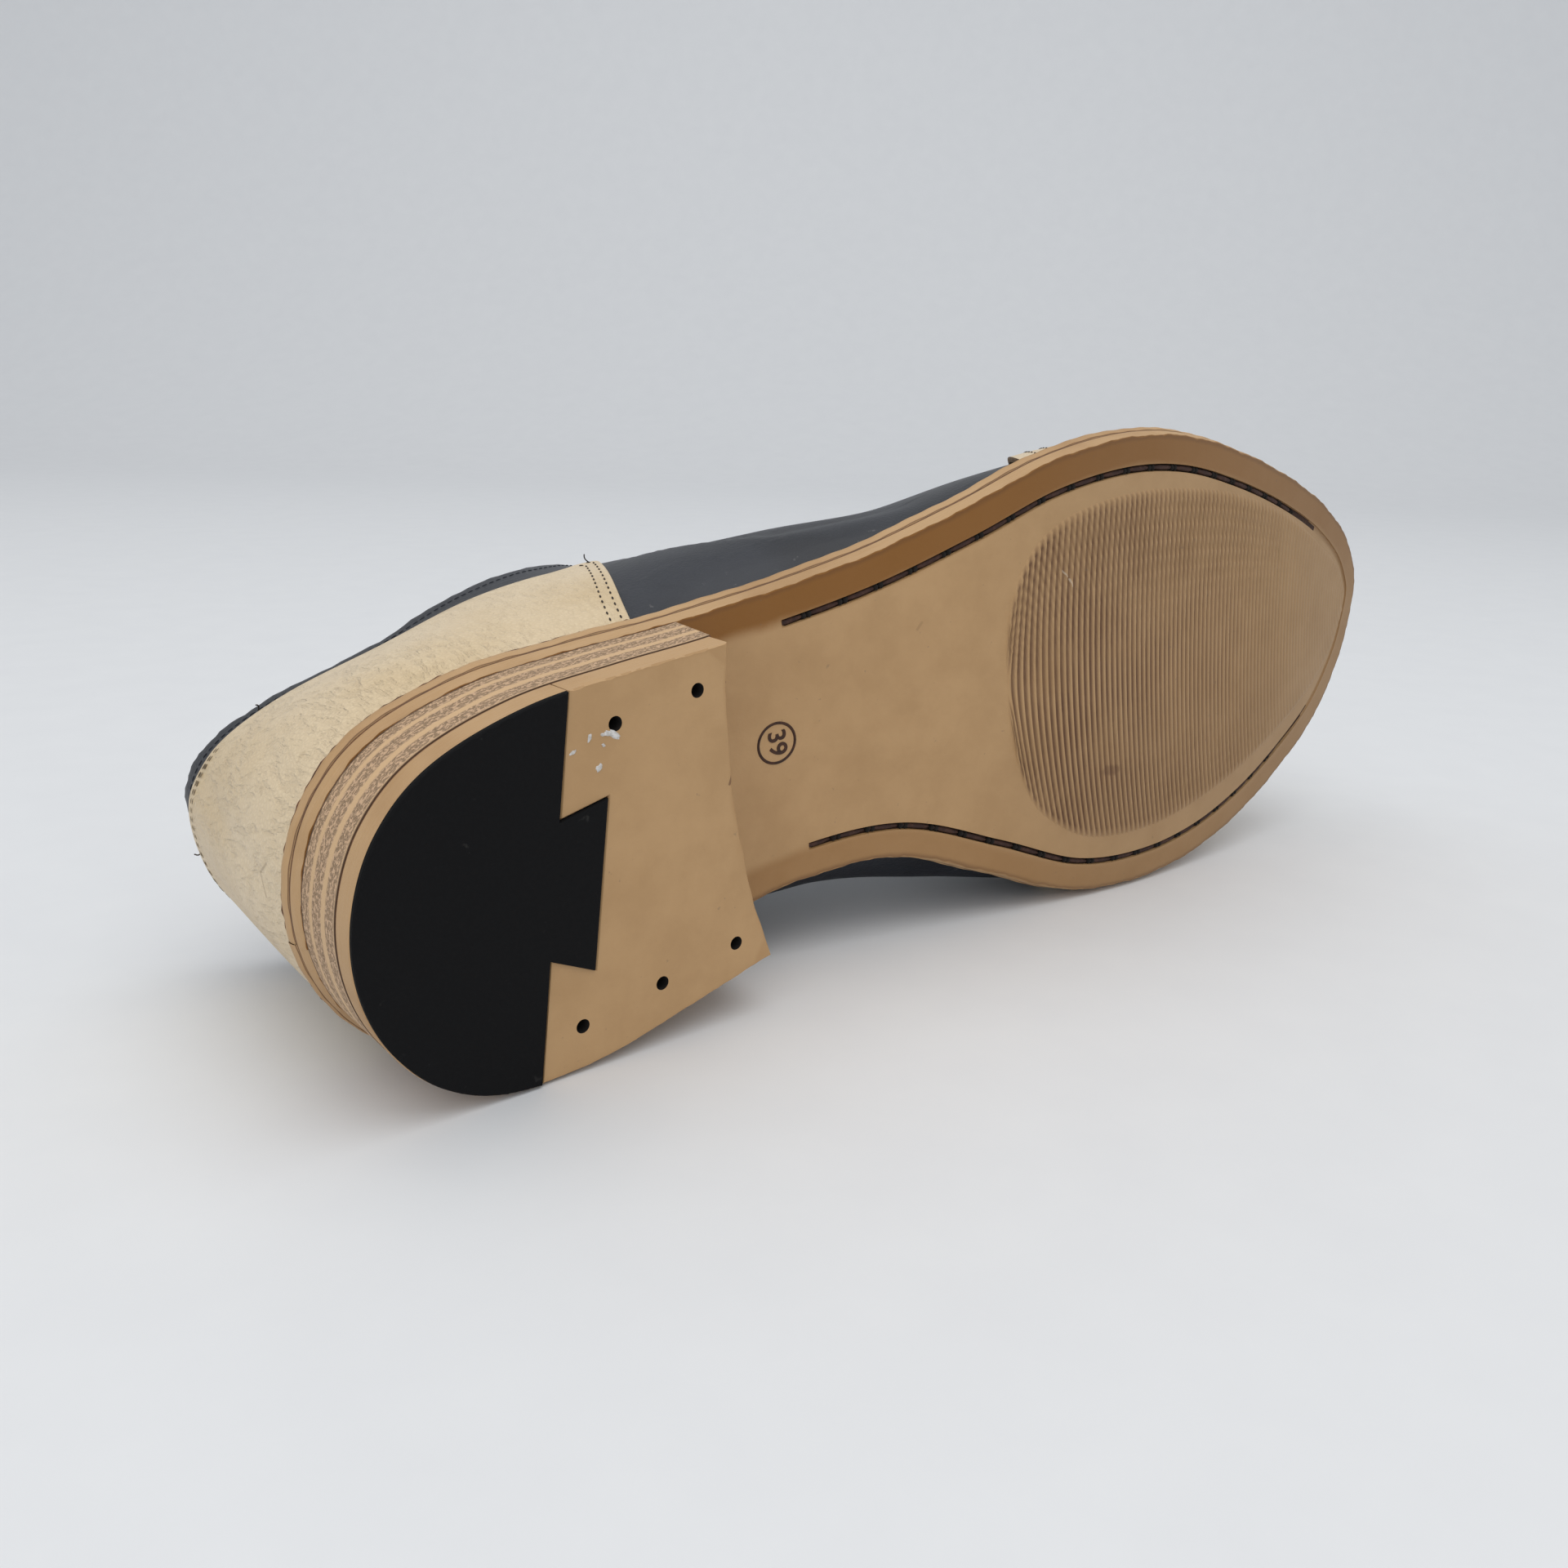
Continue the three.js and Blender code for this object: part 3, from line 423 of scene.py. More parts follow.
    def middle(self, x: Array) -> tuple[Array, Array]:
        """Middle line and half width of the outsole at places along the shoe."""
        rows = np.linspace(0, LAST_ROW, 400)
        outer = self.outline(rows)
        inner = self.outline(RING_ROWS - rows)
        lateral = np.interp(x, outer[:, 0], outer[:, 1])
        medial = np.interp(x, inner[:, 0], inner[:, 1])
        return (lateral + medial) / 2, np.maximum((medial - lateral) / 2, 1.0)


@dataclass(frozen=True)
class Placement:
    """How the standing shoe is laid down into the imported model's frame."""

    roll: float = 88.805
    rise: float = 11.923
    shift: tuple[float, float, float] = (-134.13578, -42.80044, 23.93712)

    def rotation(self) -> Array:
        """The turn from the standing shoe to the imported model."""
        a, b = math.radians(-self.roll), math.radians(-self.rise)
        over = np.array([[1, 0, 0], [0, math.cos(a), -math.sin(a)], [0, math.sin(a), math.cos(a)]])
        up = np.array([[math.cos(b), 0, math.sin(b)], [0, 1, 0], [-math.sin(b), 0, math.cos(b)]])
        return up @ over

    def to_frame(self, points: Array) -> Array:
        """Standing millimetres to frame metres."""
        return (np.asarray(points, float) @ self.rotation().T + np.array(self.shift)) * MM

    def to_standing(self, place: Sequence[float]) -> Array:
        """One place in frame metres to standing millimetres."""
        return (np.array(place) / MM - np.array(self.shift)) @ self.rotation()

    def direction(self, vector: Sequence[float]) -> Vector:
        """A direction of the standing shoe, in the frame."""
        return Vector(self.rotation() @ np.array(vector, float))

    def standing_direction(self, vector: Sequence[float]) -> Array:
        """A direction of the frame, on the standing shoe."""
        return self.rotation().T @ np.array(vector)


LAST = Last()
LAID = Placement()


def grid_faces(rows: int, columns: int) -> list[tuple[int, int, int, int]]:
    """Quads of a grid whose points run along its columns first, row by row."""
    return [
        (
            i * columns + j,
            (i + 1) * columns + j,
            (i + 1) * columns + j + 1,
            i * columns + j + 1,
        )
        for i in range(rows - 1)
        for j in range(columns - 1)
    ]


def make_object(
    name: str,
    points: Array,
    faces: Sequence[Sequence[int]],
    uv: Array | None = None,
    edges: Sequence[tuple[int, int]] = (),
    sharp: float = 40,
) -> bpy.types.Object:
    """Makes a mesh object in the frame from standing points.

    Args:
        name: Name of the object.
        points: Points of the standing shoe, in millimetres.
        faces: Corner numbers of each face, seen from outside anticlockwise.
        uv: A pair of numbers for each point, or nothing.
        edges: Loose edges, for a path.
        sharp: Angle in degrees past which an edge is sharp.

    Returns:
        The new object, linked to the scene.
    """
    mesh = bpy.data.meshes.new(name)
    mesh.from_pydata(LAID.to_frame(np.reshape(points, (-1, 3))).tolist(), list(edges), list(faces))
    if uv is not None:
        corners = np.zeros(len(mesh.loops), int)
        mesh.loops.foreach_get("vertex_index", corners)
        layer = mesh.uv_layers.new(name="place")
        layer.data.foreach_set("uv", np.reshape(uv, (-1, 2))[corners].astype(np.float32).ravel())
    work = bmesh.new()
    work.from_mesh(mesh)
    if faces:
        bmesh.ops.remove_doubles(work, verts=work.verts, dist=WELD)
        flat = [face for face in work.faces if face.calc_area() < 1e-14]
        bmesh.ops.delete(work, geom=flat, context="FACES_ONLY")
    work.to_mesh(mesh)
    work.free()
    mesh.validate()
    if faces:
        mesh.shade_smooth()
        mesh.set_sharp_from_angle(angle=math.radians(sharp))
    obj = bpy.data.objects.new(name, mesh)
    bpy.context.scene.collection.objects.link(obj)
    return obj


def make_grid(
    name: str, grid: Array, uv: Array | None = None, sharp: float = 40
) -> bpy.types.Object:
    """Makes a mesh object from rows of points, with a face between each four of them."""
    return make_object(name, grid, grid_faces(*grid.shape[:2]), uv, sharp=sharp)


def applied(obj: bpy.types.Object) -> bpy.types.Object:
    """Turns an object with modifiers into a plain mesh without them."""
    bpy.context.view_layer.update()
    graph = bpy.context.evaluated_depsgraph_get()
    evaluated = obj.evaluated_get(graph)
    mesh = bpy.data.meshes.new_from_object(
        evaluated, preserve_all_data_layers=True, depsgraph=graph
    )
    obj.modifiers.clear()
    old = obj.data
    obj.data = mesh
    mesh.name = obj.name
    if old.users == 0:
        bpy.data.meshes.remove(old)
    return obj


def thickened(
    obj: bpy.types.Object, thickness: float, bevel: float = 0, inner: int = 0, rim: int = 0
) -> bpy.types.Object:
    """Gives a surface its wall, inwards, and rounds its edges.

    Args:
        obj: The outer surface.
        thickness: Wall in millimetres.
        bevel: Radius of the rounded edges in millimetres, or 0.
        inner: How many material slots further the inner side is.
        rim: How many material slots further the rim is.

    Returns:
        The same object as a plain mesh.
    """
    solid = obj.modifiers.new("wall", "SOLIDIFY")
    solid.thickness = thickness * MM
    solid.offset = -1
    solid.use_even_offset = False
    solid.material_offset = inner
    solid.material_offset_rim = rim
    if bevel:
        rounding = obj.modifiers.new("edge", "BEVEL")
        rounding.width = bevel * MM
        rounding.segments = 2
        rounding.limit_method = "ANGLE"
        rounding.angle_limit = math.radians(50)
    applied(obj)
    obj.data.shade_smooth()
    obj.data.set_sharp_from_angle(angle=math.radians(50))
    return obj


def sweep(
    path: Array, across: Array, lift: Array, width: float, height: float, sides: int
) -> tuple[Array, list[Sequence[int]]]:
    """A flat cord along a path, with closed ends.

    Args:
        path: Points of the middle line.
        across: Unit vectors over the cord's width.
        lift: Unit vectors over its height.
        width: Full width in millimetres.
        height: Full height in millimetres.
        sides: Corners of the section.

    Returns:
        The points and the faces.
    """
    angles = 2 * math.pi * (np.arange(sides) + 0.5) / sides
    rings = (
        path[:, None]
        + across[:, None] * (np.cos(angles)[None, :, None] * width / 2)
        + lift[:, None] * (np.sin(angles)[None, :, None] * height / 2)
    )
    faces: list[Sequence[int]] = []
    for i in range(len(path) - 1):
        for k in range(sides):
            after = (k + 1) % sides
            faces.append(
                (
                    i * sides + k,
                    (i + 1) * sides + k,
                    (i + 1) * sides + after,
                    i * sides + after,
                )
            )
    faces.append(tuple(range(sides)))
    last = (len(path) - 1) * sides
    faces.append(tuple(last + k for k in reversed(range(sides))))
    return rings.reshape(-1, 3), faces


def face_outwards(obj: bpy.types.Object) -> bpy.types.Object:
    """Recalculates the normals of a closed mesh."""
    work = bmesh.new()
    work.from_mesh(obj.data)
    bmesh.ops.recalc_face_normals(work, faces=work.faces)
    work.to_mesh(obj.data)
    work.free()
    return obj


class Number:
    """One socket that carries a number, with the sums that the shaders use."""

    def __init__(self, tree: "Tree", socket: bpy.types.NodeSocket) -> None:
        """Wraps a socket of a tree."""
        self.tree = tree
        self.socket = socket

    def _sum(self, operation: str, *values: "Number | float") -> "Number":
        """One Math node on these values."""
        inputs = {index: value for index, value in enumerate(values)}
        made = self.tree.node("ShaderNodeMath", {"operation": operation}, inputs)
        return Number(self.tree, made.outputs[0])

    def __add__(self, other: "Number | float") -> "Number":
        """This plus another."""
        return self._sum("ADD", self, other)

    def __radd__(self, other: float) -> "Number":
        """A number plus this."""
        return self._sum("ADD", other, self)

    def __sub__(self, other: "Number | float") -> "Number":
        """This less another."""
        return self._sum("SUBTRACT", self, other)

    def __rsub__(self, other: float) -> "Number":
        """A number less this."""
        return self._sum("SUBTRACT", other, self)

    def __mul__(self, other: "Number | float") -> "Number":
        """This times another."""
        return self._sum("MULTIPLY", self, other)

    def __rmul__(self, other: float) -> "Number":
        """A number times this."""
        return self._sum("MULTIPLY", other, self)

    def __truediv__(self, other: "Number | float") -> "Number":
        """This over another."""
        return self._sum("DIVIDE", self, other)

    def __pow__(self, other: float) -> "Number":
        """This to a power."""
        return self._sum("POWER", self, other)

    def fraction(self) -> "Number":
        """What is left of this past its whole part."""
        return self._sum("FRACT", self)

    def magnitude(self) -> "Number":
        """This without its sign."""
        return self._sum("ABSOLUTE", self)

    def least(self, other: "Number | float") -> "Number":
        """The smaller of two."""
        return self._sum("MINIMUM", self, other)

    def most(self, other: "Number | float") -> "Number":
        """The larger of two."""
        return self._sum("MAXIMUM", self, other)

    def step(self, low: float, high: float) -> "Number":
        """A soft step from 0 at low to 1 at high; low may be the larger."""
        flip = low > high
        made = self.tree.node(
            "ShaderNodeMapRange",
            {"interpolation_type": "SMOOTHSTEP", "clamp": True},
            {
                "Value": self,
                "From Min": min(low, high),
                "From Max": max(low, high),
                "To Min": 1.0 if flip else 0.0,
                "To Max": 0.0 if flip else 1.0,
            },
        )
        return Number(self.tree, made.outputs["Result"])


class Tree:
    """A node tree with one method that makes any node."""

    def __init__(self, nodes: bpy.types.NodeTree) -> None:
        """Works on a given tree."""
        self.tree = nodes

    def node(
        self, kind: str, settings: dict[str, object], inputs: dict[str | int, object]
    ) -> bpy.types.Node:
        """Makes a node.

        Args:
            kind: The node's type.
            settings: Its properties, set first.
            inputs: Values or links of its sockets, by name or number.

        Returns:
            The node.
        """
        made = self.tree.nodes.new(kind)
        for name, value in settings.items():
            setattr(made, name, value)
        for key, value in inputs.items():
            target = made.inputs[key]
            if isinstance(value, Number):
                self.tree.links.new(value.socket, target)
            elif isinstance(value, bpy.types.NodeSocket):
                self.tree.links.new(value, target)
            else:
                target.default_value = value
        return made


class GeometryTree(Tree):
    """A node tree that works on one shape, with named sizes and one material."""

    def __init__(
        self, name: str, shape: str, sizes: Sequence[str], material: str, result: str
    ) -> None:
        """Makes the tree's inputs and its output.

        Args:
            name: Name of the tree.
            shape: Name of the input that takes the shape.
            sizes: Names of the inputs that take numbers.
            material: Name of the input that takes the material.
            result: Name of the output.
        """
        group = bpy.data.node_groups.new(name, "GeometryNodeTree")
        kinds = {shape: "Geometry", **{size: "Float" for size in sizes}, material: "Material"}
        for label, kind in kinds.items():
            group.interface.new_socket(label, in_out="INPUT", socket_type=f"NodeSocket{kind}")
        group.interface.new_socket(result, in_out="OUTPUT", socket_type="NodeSocketGeometry")
        super().__init__(group)
        self.given = self.node("NodeGroupInput", {}, {}).outputs
        self.coat = material

    def close(self, shape: bpy.types.NodeSocket) -> bpy.types.NodeTree:
        """Ends the tree in Realize Instances and Set Material."""
        real = self.node("GeometryNodeRealizeInstances", {}, {"Geometry": shape})
        inputs = {"Geometry": real.outputs[0], "Material": self.given[self.coat]}
        painted = self.node("GeometryNodeSetMaterial", {}, inputs)
        self.node("NodeGroupOutput", {}, {0: painted.outputs[0]})
        return self.tree


class Shader(Tree):
    """The nodes of one material, with the patterns that its finishes share."""

    def __init__(self, name: str) -> None:
        """Starts an empty material."""
        self.material = bpy.data.materials.new(name)
        self.material.use_nodes = True
        super().__init__(self.material.node_tree)
        self.tree.nodes.clear()
        self.object_place = self.node("ShaderNodeTexCoord", {}, {}).outputs["Object"]

    def standing(self) -> tuple[Number, Number, Number]:
        """Millimetres of the standing shoe at the shaded point."""
        turn = LAID.rotation()
        found = []
        for axis in range(3):
            column = turn[:, axis]
            dot = self.node(
                "ShaderNodeVectorMath",
                {"operation": "DOT_PRODUCT"},
                {0: self.object_place, 1: tuple(column / MM)},
            )
            found.append(
                Number(self, dot.outputs["Value"]) - float(np.dot(column, LAID.shift))
            )
        return found[0], found[1], found[2]

    def surface_place(self) -> tuple[Number, Number]:
        """Both numbers of the piece's own map."""
        uv = self.node("ShaderNodeUVMap", {"uv_map": "place"}, {})
        parts = self.node("ShaderNodeSeparateXYZ", {}, {0: uv.outputs[0]})
        return Number(self, parts.outputs[0]), Number(self, parts.outputs[1])

    def combine(self, *parts: Number | float) -> bpy.types.NodeSocket:
        """A vector from up to three numbers."""
        inputs = {index: part for index, part in enumerate(parts)}
        return self.node("ShaderNodeCombineXYZ", {}, inputs).outputs[0]

    def noise(
        self,
        scale: float,
        detail: float = 3,
        roughness: float = 0.55,
        place: bpy.types.NodeSocket | None = None,
    ) -> Number:
        """Noise about 0.5, with scale in waves per metre, or per unit of place."""
        made = self.node(
            "ShaderNodeTexNoise",
            {},
            {
                "Vector": place or self.object_place,
                "Scale": scale,
                "Detail": detail,
                "Roughness": roughness,
            },
        )
        return Number(self, made.outputs[0])

    def cells(
        self, scale: float, place: bpy.types.NodeSocket | None = None, edges: bool = True
    ) -> Number:
        """Distance inside cells, to their edges or to their middles."""
        made = self.node(
            "ShaderNodeTexVoronoi",
            {"feature": "DISTANCE_TO_EDGE" if edges else "F1"},
            {"Vector": place or self.object_place, "Scale": scale},
        )
        return Number(self, made.outputs[0])

    def blend(
        self,
        mask: Number | float,
        under: Colour | bpy.types.NodeSocket,
        over: Colour | bpy.types.NodeSocket,
    ) -> bpy.types.NodeSocket:
        """Mixes two colours."""
        settings = {"data_type": "RGBA", "clamp_factor": True}
        colours = [(*c, 1.0) if isinstance(c, tuple) else c for c in (under, over)]
        made = self.node("ShaderNodeMix", settings, {0: mask, 6: colours[0], 7: colours[1]})
        return made.outputs[2]

    def bump(
        self,
        height: Number,
        depth: float,
        under: bpy.types.NodeSocket | None = None,
    ) -> bpy.types.NodeSocket:
        """A bump whose height of 1 is depth millimetres, over another one."""
        inputs: dict[str | int, object] = {"Distance": depth * MM, "Height": height}
        if under is not None:
            inputs["Normal"] = under
        return self.node("ShaderNodeBump", {}, inputs).outputs[0]

    def mark(
        self, plan: tuple[Number, Number], start: Sequence[float], end: Sequence[float], width: float
    ) -> Number:
        """A thin line in a plane: 1 on the line from start to end, 0 past its width."""
        x, y = plan
        along = np.array(end, float) - np.array(start, float)
        length = float(np.linalg.norm(along))
        unit = along / length
        dx = x - float(start[0])
        dy = y - float(start[1])
        run = (dx * float(unit[0]) + dy * float(unit[1])) / length
        clamped = run.most(0.0).least(1.0) * length
        rx = dx - clamped * float(unit[0])
        ry = dy - clamped * float(unit[1])
        return ((rx * rx + ry * ry) ** 0.5).step(width, width * 0.4)

    def close(
        self,
        colour: Colour | bpy.types.NodeSocket,
        roughness: Number | float,
        normal: bpy.types.NodeSocket | None = None,
        **fixed: object,
    ) -> bpy.types.Material:
        """Ends the tree in a Principled shader.

        Args:
            colour: The base colour.
            roughness: The roughness.
            normal: The bumped normal, or nothing.
            **fixed: Other sockets, with underscores for the spaces of their names.

        Returns:
            The material.
        """
        base = (*colour, 1.0) if isinstance(colour, tuple) else colour
        inputs: dict[str | int, object] = {"Base Color": base, "Roughness": roughness}
        if normal is not None:
            inputs["Normal"] = normal
        for name, value in fixed.items():
            inputs[name.replace("_", " ")] = value
        skin = self.node("ShaderNodeBsdfPrincipled", {}, inputs)
        self.node("ShaderNodeOutputMaterial", {}, {"Surface": skin.outputs[0]})
        return self.material


@dataclass(frozen=True)
class CreamLeather:
    """Pale grained leather with fine wrinkles that run round the heel."""

    name: str = "cream_leather"
    light: Colour = (0.74, 0.59, 0.385)
    deep: Colour = (0.64, 0.48, 0.27)
    pore_and_crease_shade: Colour = (0.36, 0.25, 0.13)
    edge: Colour = (0.3, 0.2, 0.11)

    def material(self) -> bpy.types.Material:
        """Builds the finish."""
        s = Shader(self.name)
        around, up = s.surface_place()
        broad = s.noise(28, 3)
        x, y, z = s.standing()
        sway = (s.noise(110, 2) - 0.5) * 3.2
        along = up * 0.96 - around * 0.26
        aside = around * 0.96 + up * 0.26 + sway
        wrinkle_place = s.combine(along * 0.26, aside * 0.8, broad * 1.6)
        wrinkle = s.noise(1.0, 3, 0.55, wrinkle_place).step(0.3, 0.56)
        cells = s.cells(1150).step(0.0, 0.3)
        fine = s.noise(1500, 2)
        behind = x.step(105.0, 30.0) * 0.8 + 0.2
        patch = (s.noise(45, 3).step(0.3, 0.65) * 0.6 + 0.4) * behind
        colour = s.blend(broad.step(0.4, 0.75), self.light, self.deep)
        colour = s.blend((1 - cells) * 0.14, colour, self.pore_and_crease_shade)
        # Painted shade: the wrinkle troughs are darkened towards the pore colour, most towards the heel.
        colour = s.blend((1 - wrinkle) * patch * 0.15, colour, self.pore_and_crease_shade)
        worn = s.noise(260, 4).step(0.66, 0.74) * s.noise(18, 2).step(0.5, 0.62)
        colour = s.blend(worn * 0.3, colour, self.pore_and_crease_shade)
        crack = LAST.point(np.array([0.45, 0.75, 0.95]), np.array([0.1, 0.13, 0.09]))
        for a, b in zip(crack[:-1], crack[1:]):
            line = s.mark((y, z), a[1:], b[1:], 0.28) * x.step(25.0, 12.0)
            colour = s.blend(line * 0.6, colour, self.pore_and_crease_shade)
        normal = s.bump(wrinkle * patch, 0.26)
        normal = s.bump(cells * 0.7 + fine * 0.5, 0.06, normal)
        rough = 0.44 + fine * 0.1 - cells * 0.05
        return s.close(colour, rough, normal, Coat_Weight=0.22, Coat_Roughness=0.32)


@dataclass(frozen=True)
class NavyLeather:
    """Smooth, almost black blue leather with a soft sheen and small pores."""

    name: str = "navy_leather"
    light: Colour = (0.026, 0.029, 0.037)
    deep: Colour = (0.012, 0.0135, 0.018)
    scuff: Colour = (0.2, 0.19, 0.19)

    def material(self) -> bpy.types.Material:
        """Builds the finish."""
        s = Shader(self.name)
        _, up = s.surface_place()
        x, y, z = s.standing()
        broad = s.noise(30, 4)
        pores = s.cells(900).step(0.0, 0.22)
        fine = s.noise(1400, 3)
        creases = s.noise(1.0, 3, 0.5, s.combine(*self._stretched(s))).step(0.5, 0.75)
        colour = s.blend(broad.step(0.35, 0.7), self.deep, self.light)
        # Painted shade: a near-black line along the fold on the outer quarter, over the crease in the
        # geometry.
        fold = LAST.point(np.array([6.88, 7.42, 7.81, 8.5]), np.array([0.571, 0.378, 0.227, 0.22]))
        for a, b in zip(fold[:-1], fold[1:]):
            line = s.mark((x, z), (a[0], a[2]), (b[0], b[2]), 0.6) * y.step(20.0, 0.0)
            colour = s.blend(line * 0.6, colour, (0.003, 0.003, 0.004))
        near_welt = up.step(9.0, 1.5)
        specks = s.noise(420, 3).step(0.66, 0.72) * near_welt
        colour = s.blend(specks * 0.55, colour, self.scuff)
        normal = s.bump(creases, 0.12)
        normal = s.bump(pores * 0.6 + fine * 0.5, 0.03, normal)
        rough = 0.4 + broad * 0.14 + specks * 0.2
        gloss = 0.4 - y.step(15.0, 45.0) * 0.32
        return s.close(colour, rough, normal, Specular_IOR_Level=gloss, Coat_Weight=0.03)

    def _stretched(self, s: Shader) -> tuple[Number, Number, Number]:
        """A place whose noise makes long soft creases."""
        x, y, z = s.standing()
        return x * 0.05, y * 0.1, z * 0.16


@dataclass(frozen=True)
class PlainLeather:
    """Matt leather for linings, cut edges and joints, for painted shade inside holes and the sole's
    groove, and for the pressed size mark.
    """

    name: str
    light: Colour
    deep: Colour
    roughness: float = 0.75
    scale: float = 500

    def material(self) -> bpy.types.Material:
        """Builds the finish."""
        s = Shader(self.name)
        fibres = s.noise(self.scale, 4, 0.65)
        colour = s.blend(fibres.step(0.3, 0.72), self.deep, self.light)
        normal = s.bump(fibres, 0.08)
        return s.close(colour, self.roughness + fibres * 0.15, normal)


class SolePart(Enum):
    """Which face of the sole leather a finish is for."""

    GROUND = "ground"
    RIBS = "ribs"
    EDGE = "edge"


@dataclass(frozen=True)
class SoleLeather:
    """Tan sole leather, burnished darker towards its rim."""

    name: str
    part: SolePart
    light: Colour = (0.5, 0.305, 0.14)
    deep: Colour = (0.38, 0.22, 0.092)
    rim: Colour = (0.225, 0.088, 0.012)
    dark: Colour = (0.12, 0.05, 0.02)
    dirt: Colour = (0.17, 0.12, 0.075)
    pale: Colour = (0.72, 0.62, 0.48)
    edge: Colour = (0.52, 0.33, 0.165)
    rim_inset: float = 6.0

    def material(self) -> bpy.types.Material:
        """Builds the finish for the ground face or for the cut edge."""
        if self.part is SolePart.EDGE:
            return self._edge()
        return self._ground()

    def _ground(self) -> bpy.types.Material:
        """The ground face: mottled, burnished round the rim, with dirt and scratches."""
        s = Shader(self.name)
        x, y, _ = s.standing()
        _, inset = s.surface_place()
        broad = s.noise(16, 4)
        mottle = s.noise(90, 5, 0.6)
        fibre = s.noise(1.0, 4, 0.6, s.combine(x * 0.35, y * 1.4, 0.0))
        colour = s.blend(mottle.step(0.3, 0.75) * 0.5, self.light, self.deep)
        colour = s.blend(broad.step(0.4, 0.75) * 0.35, colour, self.deep)
        wander = (mottle - 0.5) * 2.5 + (broad - 0.5) * 2.5
        burnt = (inset + wander).step(self.rim_inset + 1.4, self.rim_inset - 1.4)
        outer_side = (y.step(30.0, -5.0) * 0.5 + 0.4) * (x.step(240.0, 140.0) * 0.3 + 0.7)
        colour = s.blend(burnt * outer_side, colour, self.rim)
        colour = s.blend((inset + wander * 0.25).step(1.3, 0.2) * 0.5, colour, self.dark)
        toe_worn = x.step(125.0, 170.0) * 0.16 + x.step(175.0, 250.0) * 0.12
        colour = s.blend(toe_worn, colour, self.dirt)
        if self.part is SolePart.RIBS:
            # Painted shade in the channels between the ribs, stronger further from the toe.
            depth = x.step(235.0, 150.0) * 0.5 + 0.47
            colour = s.blend(self._channel_shade(s) * depth, colour, self.dark)
        specks = s.noise(700, 2).step(0.72, 0.77)
        colour = s.blend(specks * 0.35, colour, self.dirt)
        for start, end, width, strength, tone in self._scratches():
            colour = s.blend(s.mark((x, y), start, end, width) * strength, colour, tone)
        normal = s.bump(fibre * 0.5 + s.noise(1300, 3) * 0.6, 0.05)
        normal = s.bump(mottle, 0.1, normal)
        rough = 0.52 + mottle * 0.16 + burnt * 0.02
        gloss = 0.5 - burnt * outer_side * 0.25
        return s.close(colour, rough, normal, Specular_IOR_Level=gloss, Coat_Weight=0.03)

    def _channel_shade(self, s: Shader) -> Number:
        """Painted shade: 1 in the channels between the ribs, weaker where they are worn."""
        channel = s.node("ShaderNodeAttribute", {"attribute_name": "channel"}, {})
        worn = s.noise(70, 3).step(0.75, 0.35)
        return Number(s, channel.outputs["Fac"]) * (worn * 0.35 + 0.65)

    def _edge(self) -> bpy.types.Material:
        """The cut edge: pale, with fine lines along it and darker seams."""
        s = Shader(self.name)
        run, depth = s.surface_place()
        streaks = s.noise(1.0, 4, 0.6, s.combine(run * 0.12, depth * 3.5, 0.0))
        fibre = s.noise(1.0, 3, 0.6, s.combine(run * 1.6, depth * 3.0, 0.0))
        broad = s.noise(35, 3)
        colour = s.blend(streaks.step(0.3, 0.72), self.edge, self.light)
        colour = s.blend(broad.step(0.45, 0.75) * 0.4, colour, self.rim)
        seam = depth.step(0.24, 0.08)
        colour = s.blend(seam * 0.92, colour, self.dark)
        normal = s.bump(streaks * 0.6 + fibre * 0.6, 0.12)
        return s.close(colour, 0.55 + fibre * 0.15, normal)

    def _scratches(self) -> list[tuple[Sequence[float], Sequence[float], float, float, Colour]]:
        """Start, end, width, strength and tone of the scratches, in plan."""
        return [
            ((66, -5.5), (67.5, -8.0), 0.35, 0.7, self.dark),
            ((78.0, -14.2), (79.0, -15.2), 0.35, 0.6, self.dark),
            ((118, -14), (119, -15), 0.4, 0.2, self.dark),
            ((160.8, 28.9), (163.6, 29.8), 1.5, 0.45, self.dark),
            ((150.8, -16.9), (151.9, -15.4), 0.2, 0.4, self.pale),
            ((152.4, -14.8), (153.0, -13.2), 0.2, 0.4, self.pale),
        ]


@dataclass(frozen=True)
class StackLeather:
    """The heel's layers: speckled bands between pale ones."""

    name: str = "stack_leather"
    pale: Colour = (0.62, 0.41, 0.22)
    band: Colour = (0.58, 0.38, 0.235)
    speck: Colour = (0.16, 0.1, 0.045)
    line: Colour = (0.07, 0.03, 0.012)

    def material(self) -> bpy.types.Material:
        """Builds the finish."""
        s = Shader(self.name)
        run, height = s.surface_place()
        sway = (s.noise(1.0, 3, 0.5, s.combine(run * 0.12, 0.0, 0.0)) - 0.5) * 0.7
        level = height + sway
        bands = level.step(0.2, 0.8) * level.step(3.6, 3.0)
        for low, high in ((4.5, 7.5), (8.7, 11.4)):
            bands = bands + level.step(low, low + 0.6) * level.step(high + 0.6, high)
        grain = s.noise(1.0, 4, 0.7, s.combine(run * 1.25, height * 2.0, 0.0))
        colour = s.blend(bands.least(1.0) * 0.75, self.pale, self.band)
        specks = grain.step(0.46, 0.6) * bands.least(1.0)
        colour = s.blend(specks * 0.52, colour, self.speck)
        colour = s.blend(height.step(0.36, 0.12) * 0.9, colour, self.line)
        colour = s.blend(height.step(11.25, 11.5) * 0.9, colour, self.line)
        normal = s.bump(1 - specks * 0.8, 0.2)
        normal = s.bump(s.noise(1400, 3), 0.05, normal)
        return s.close(colour, 0.62 + specks * 0.2, normal)


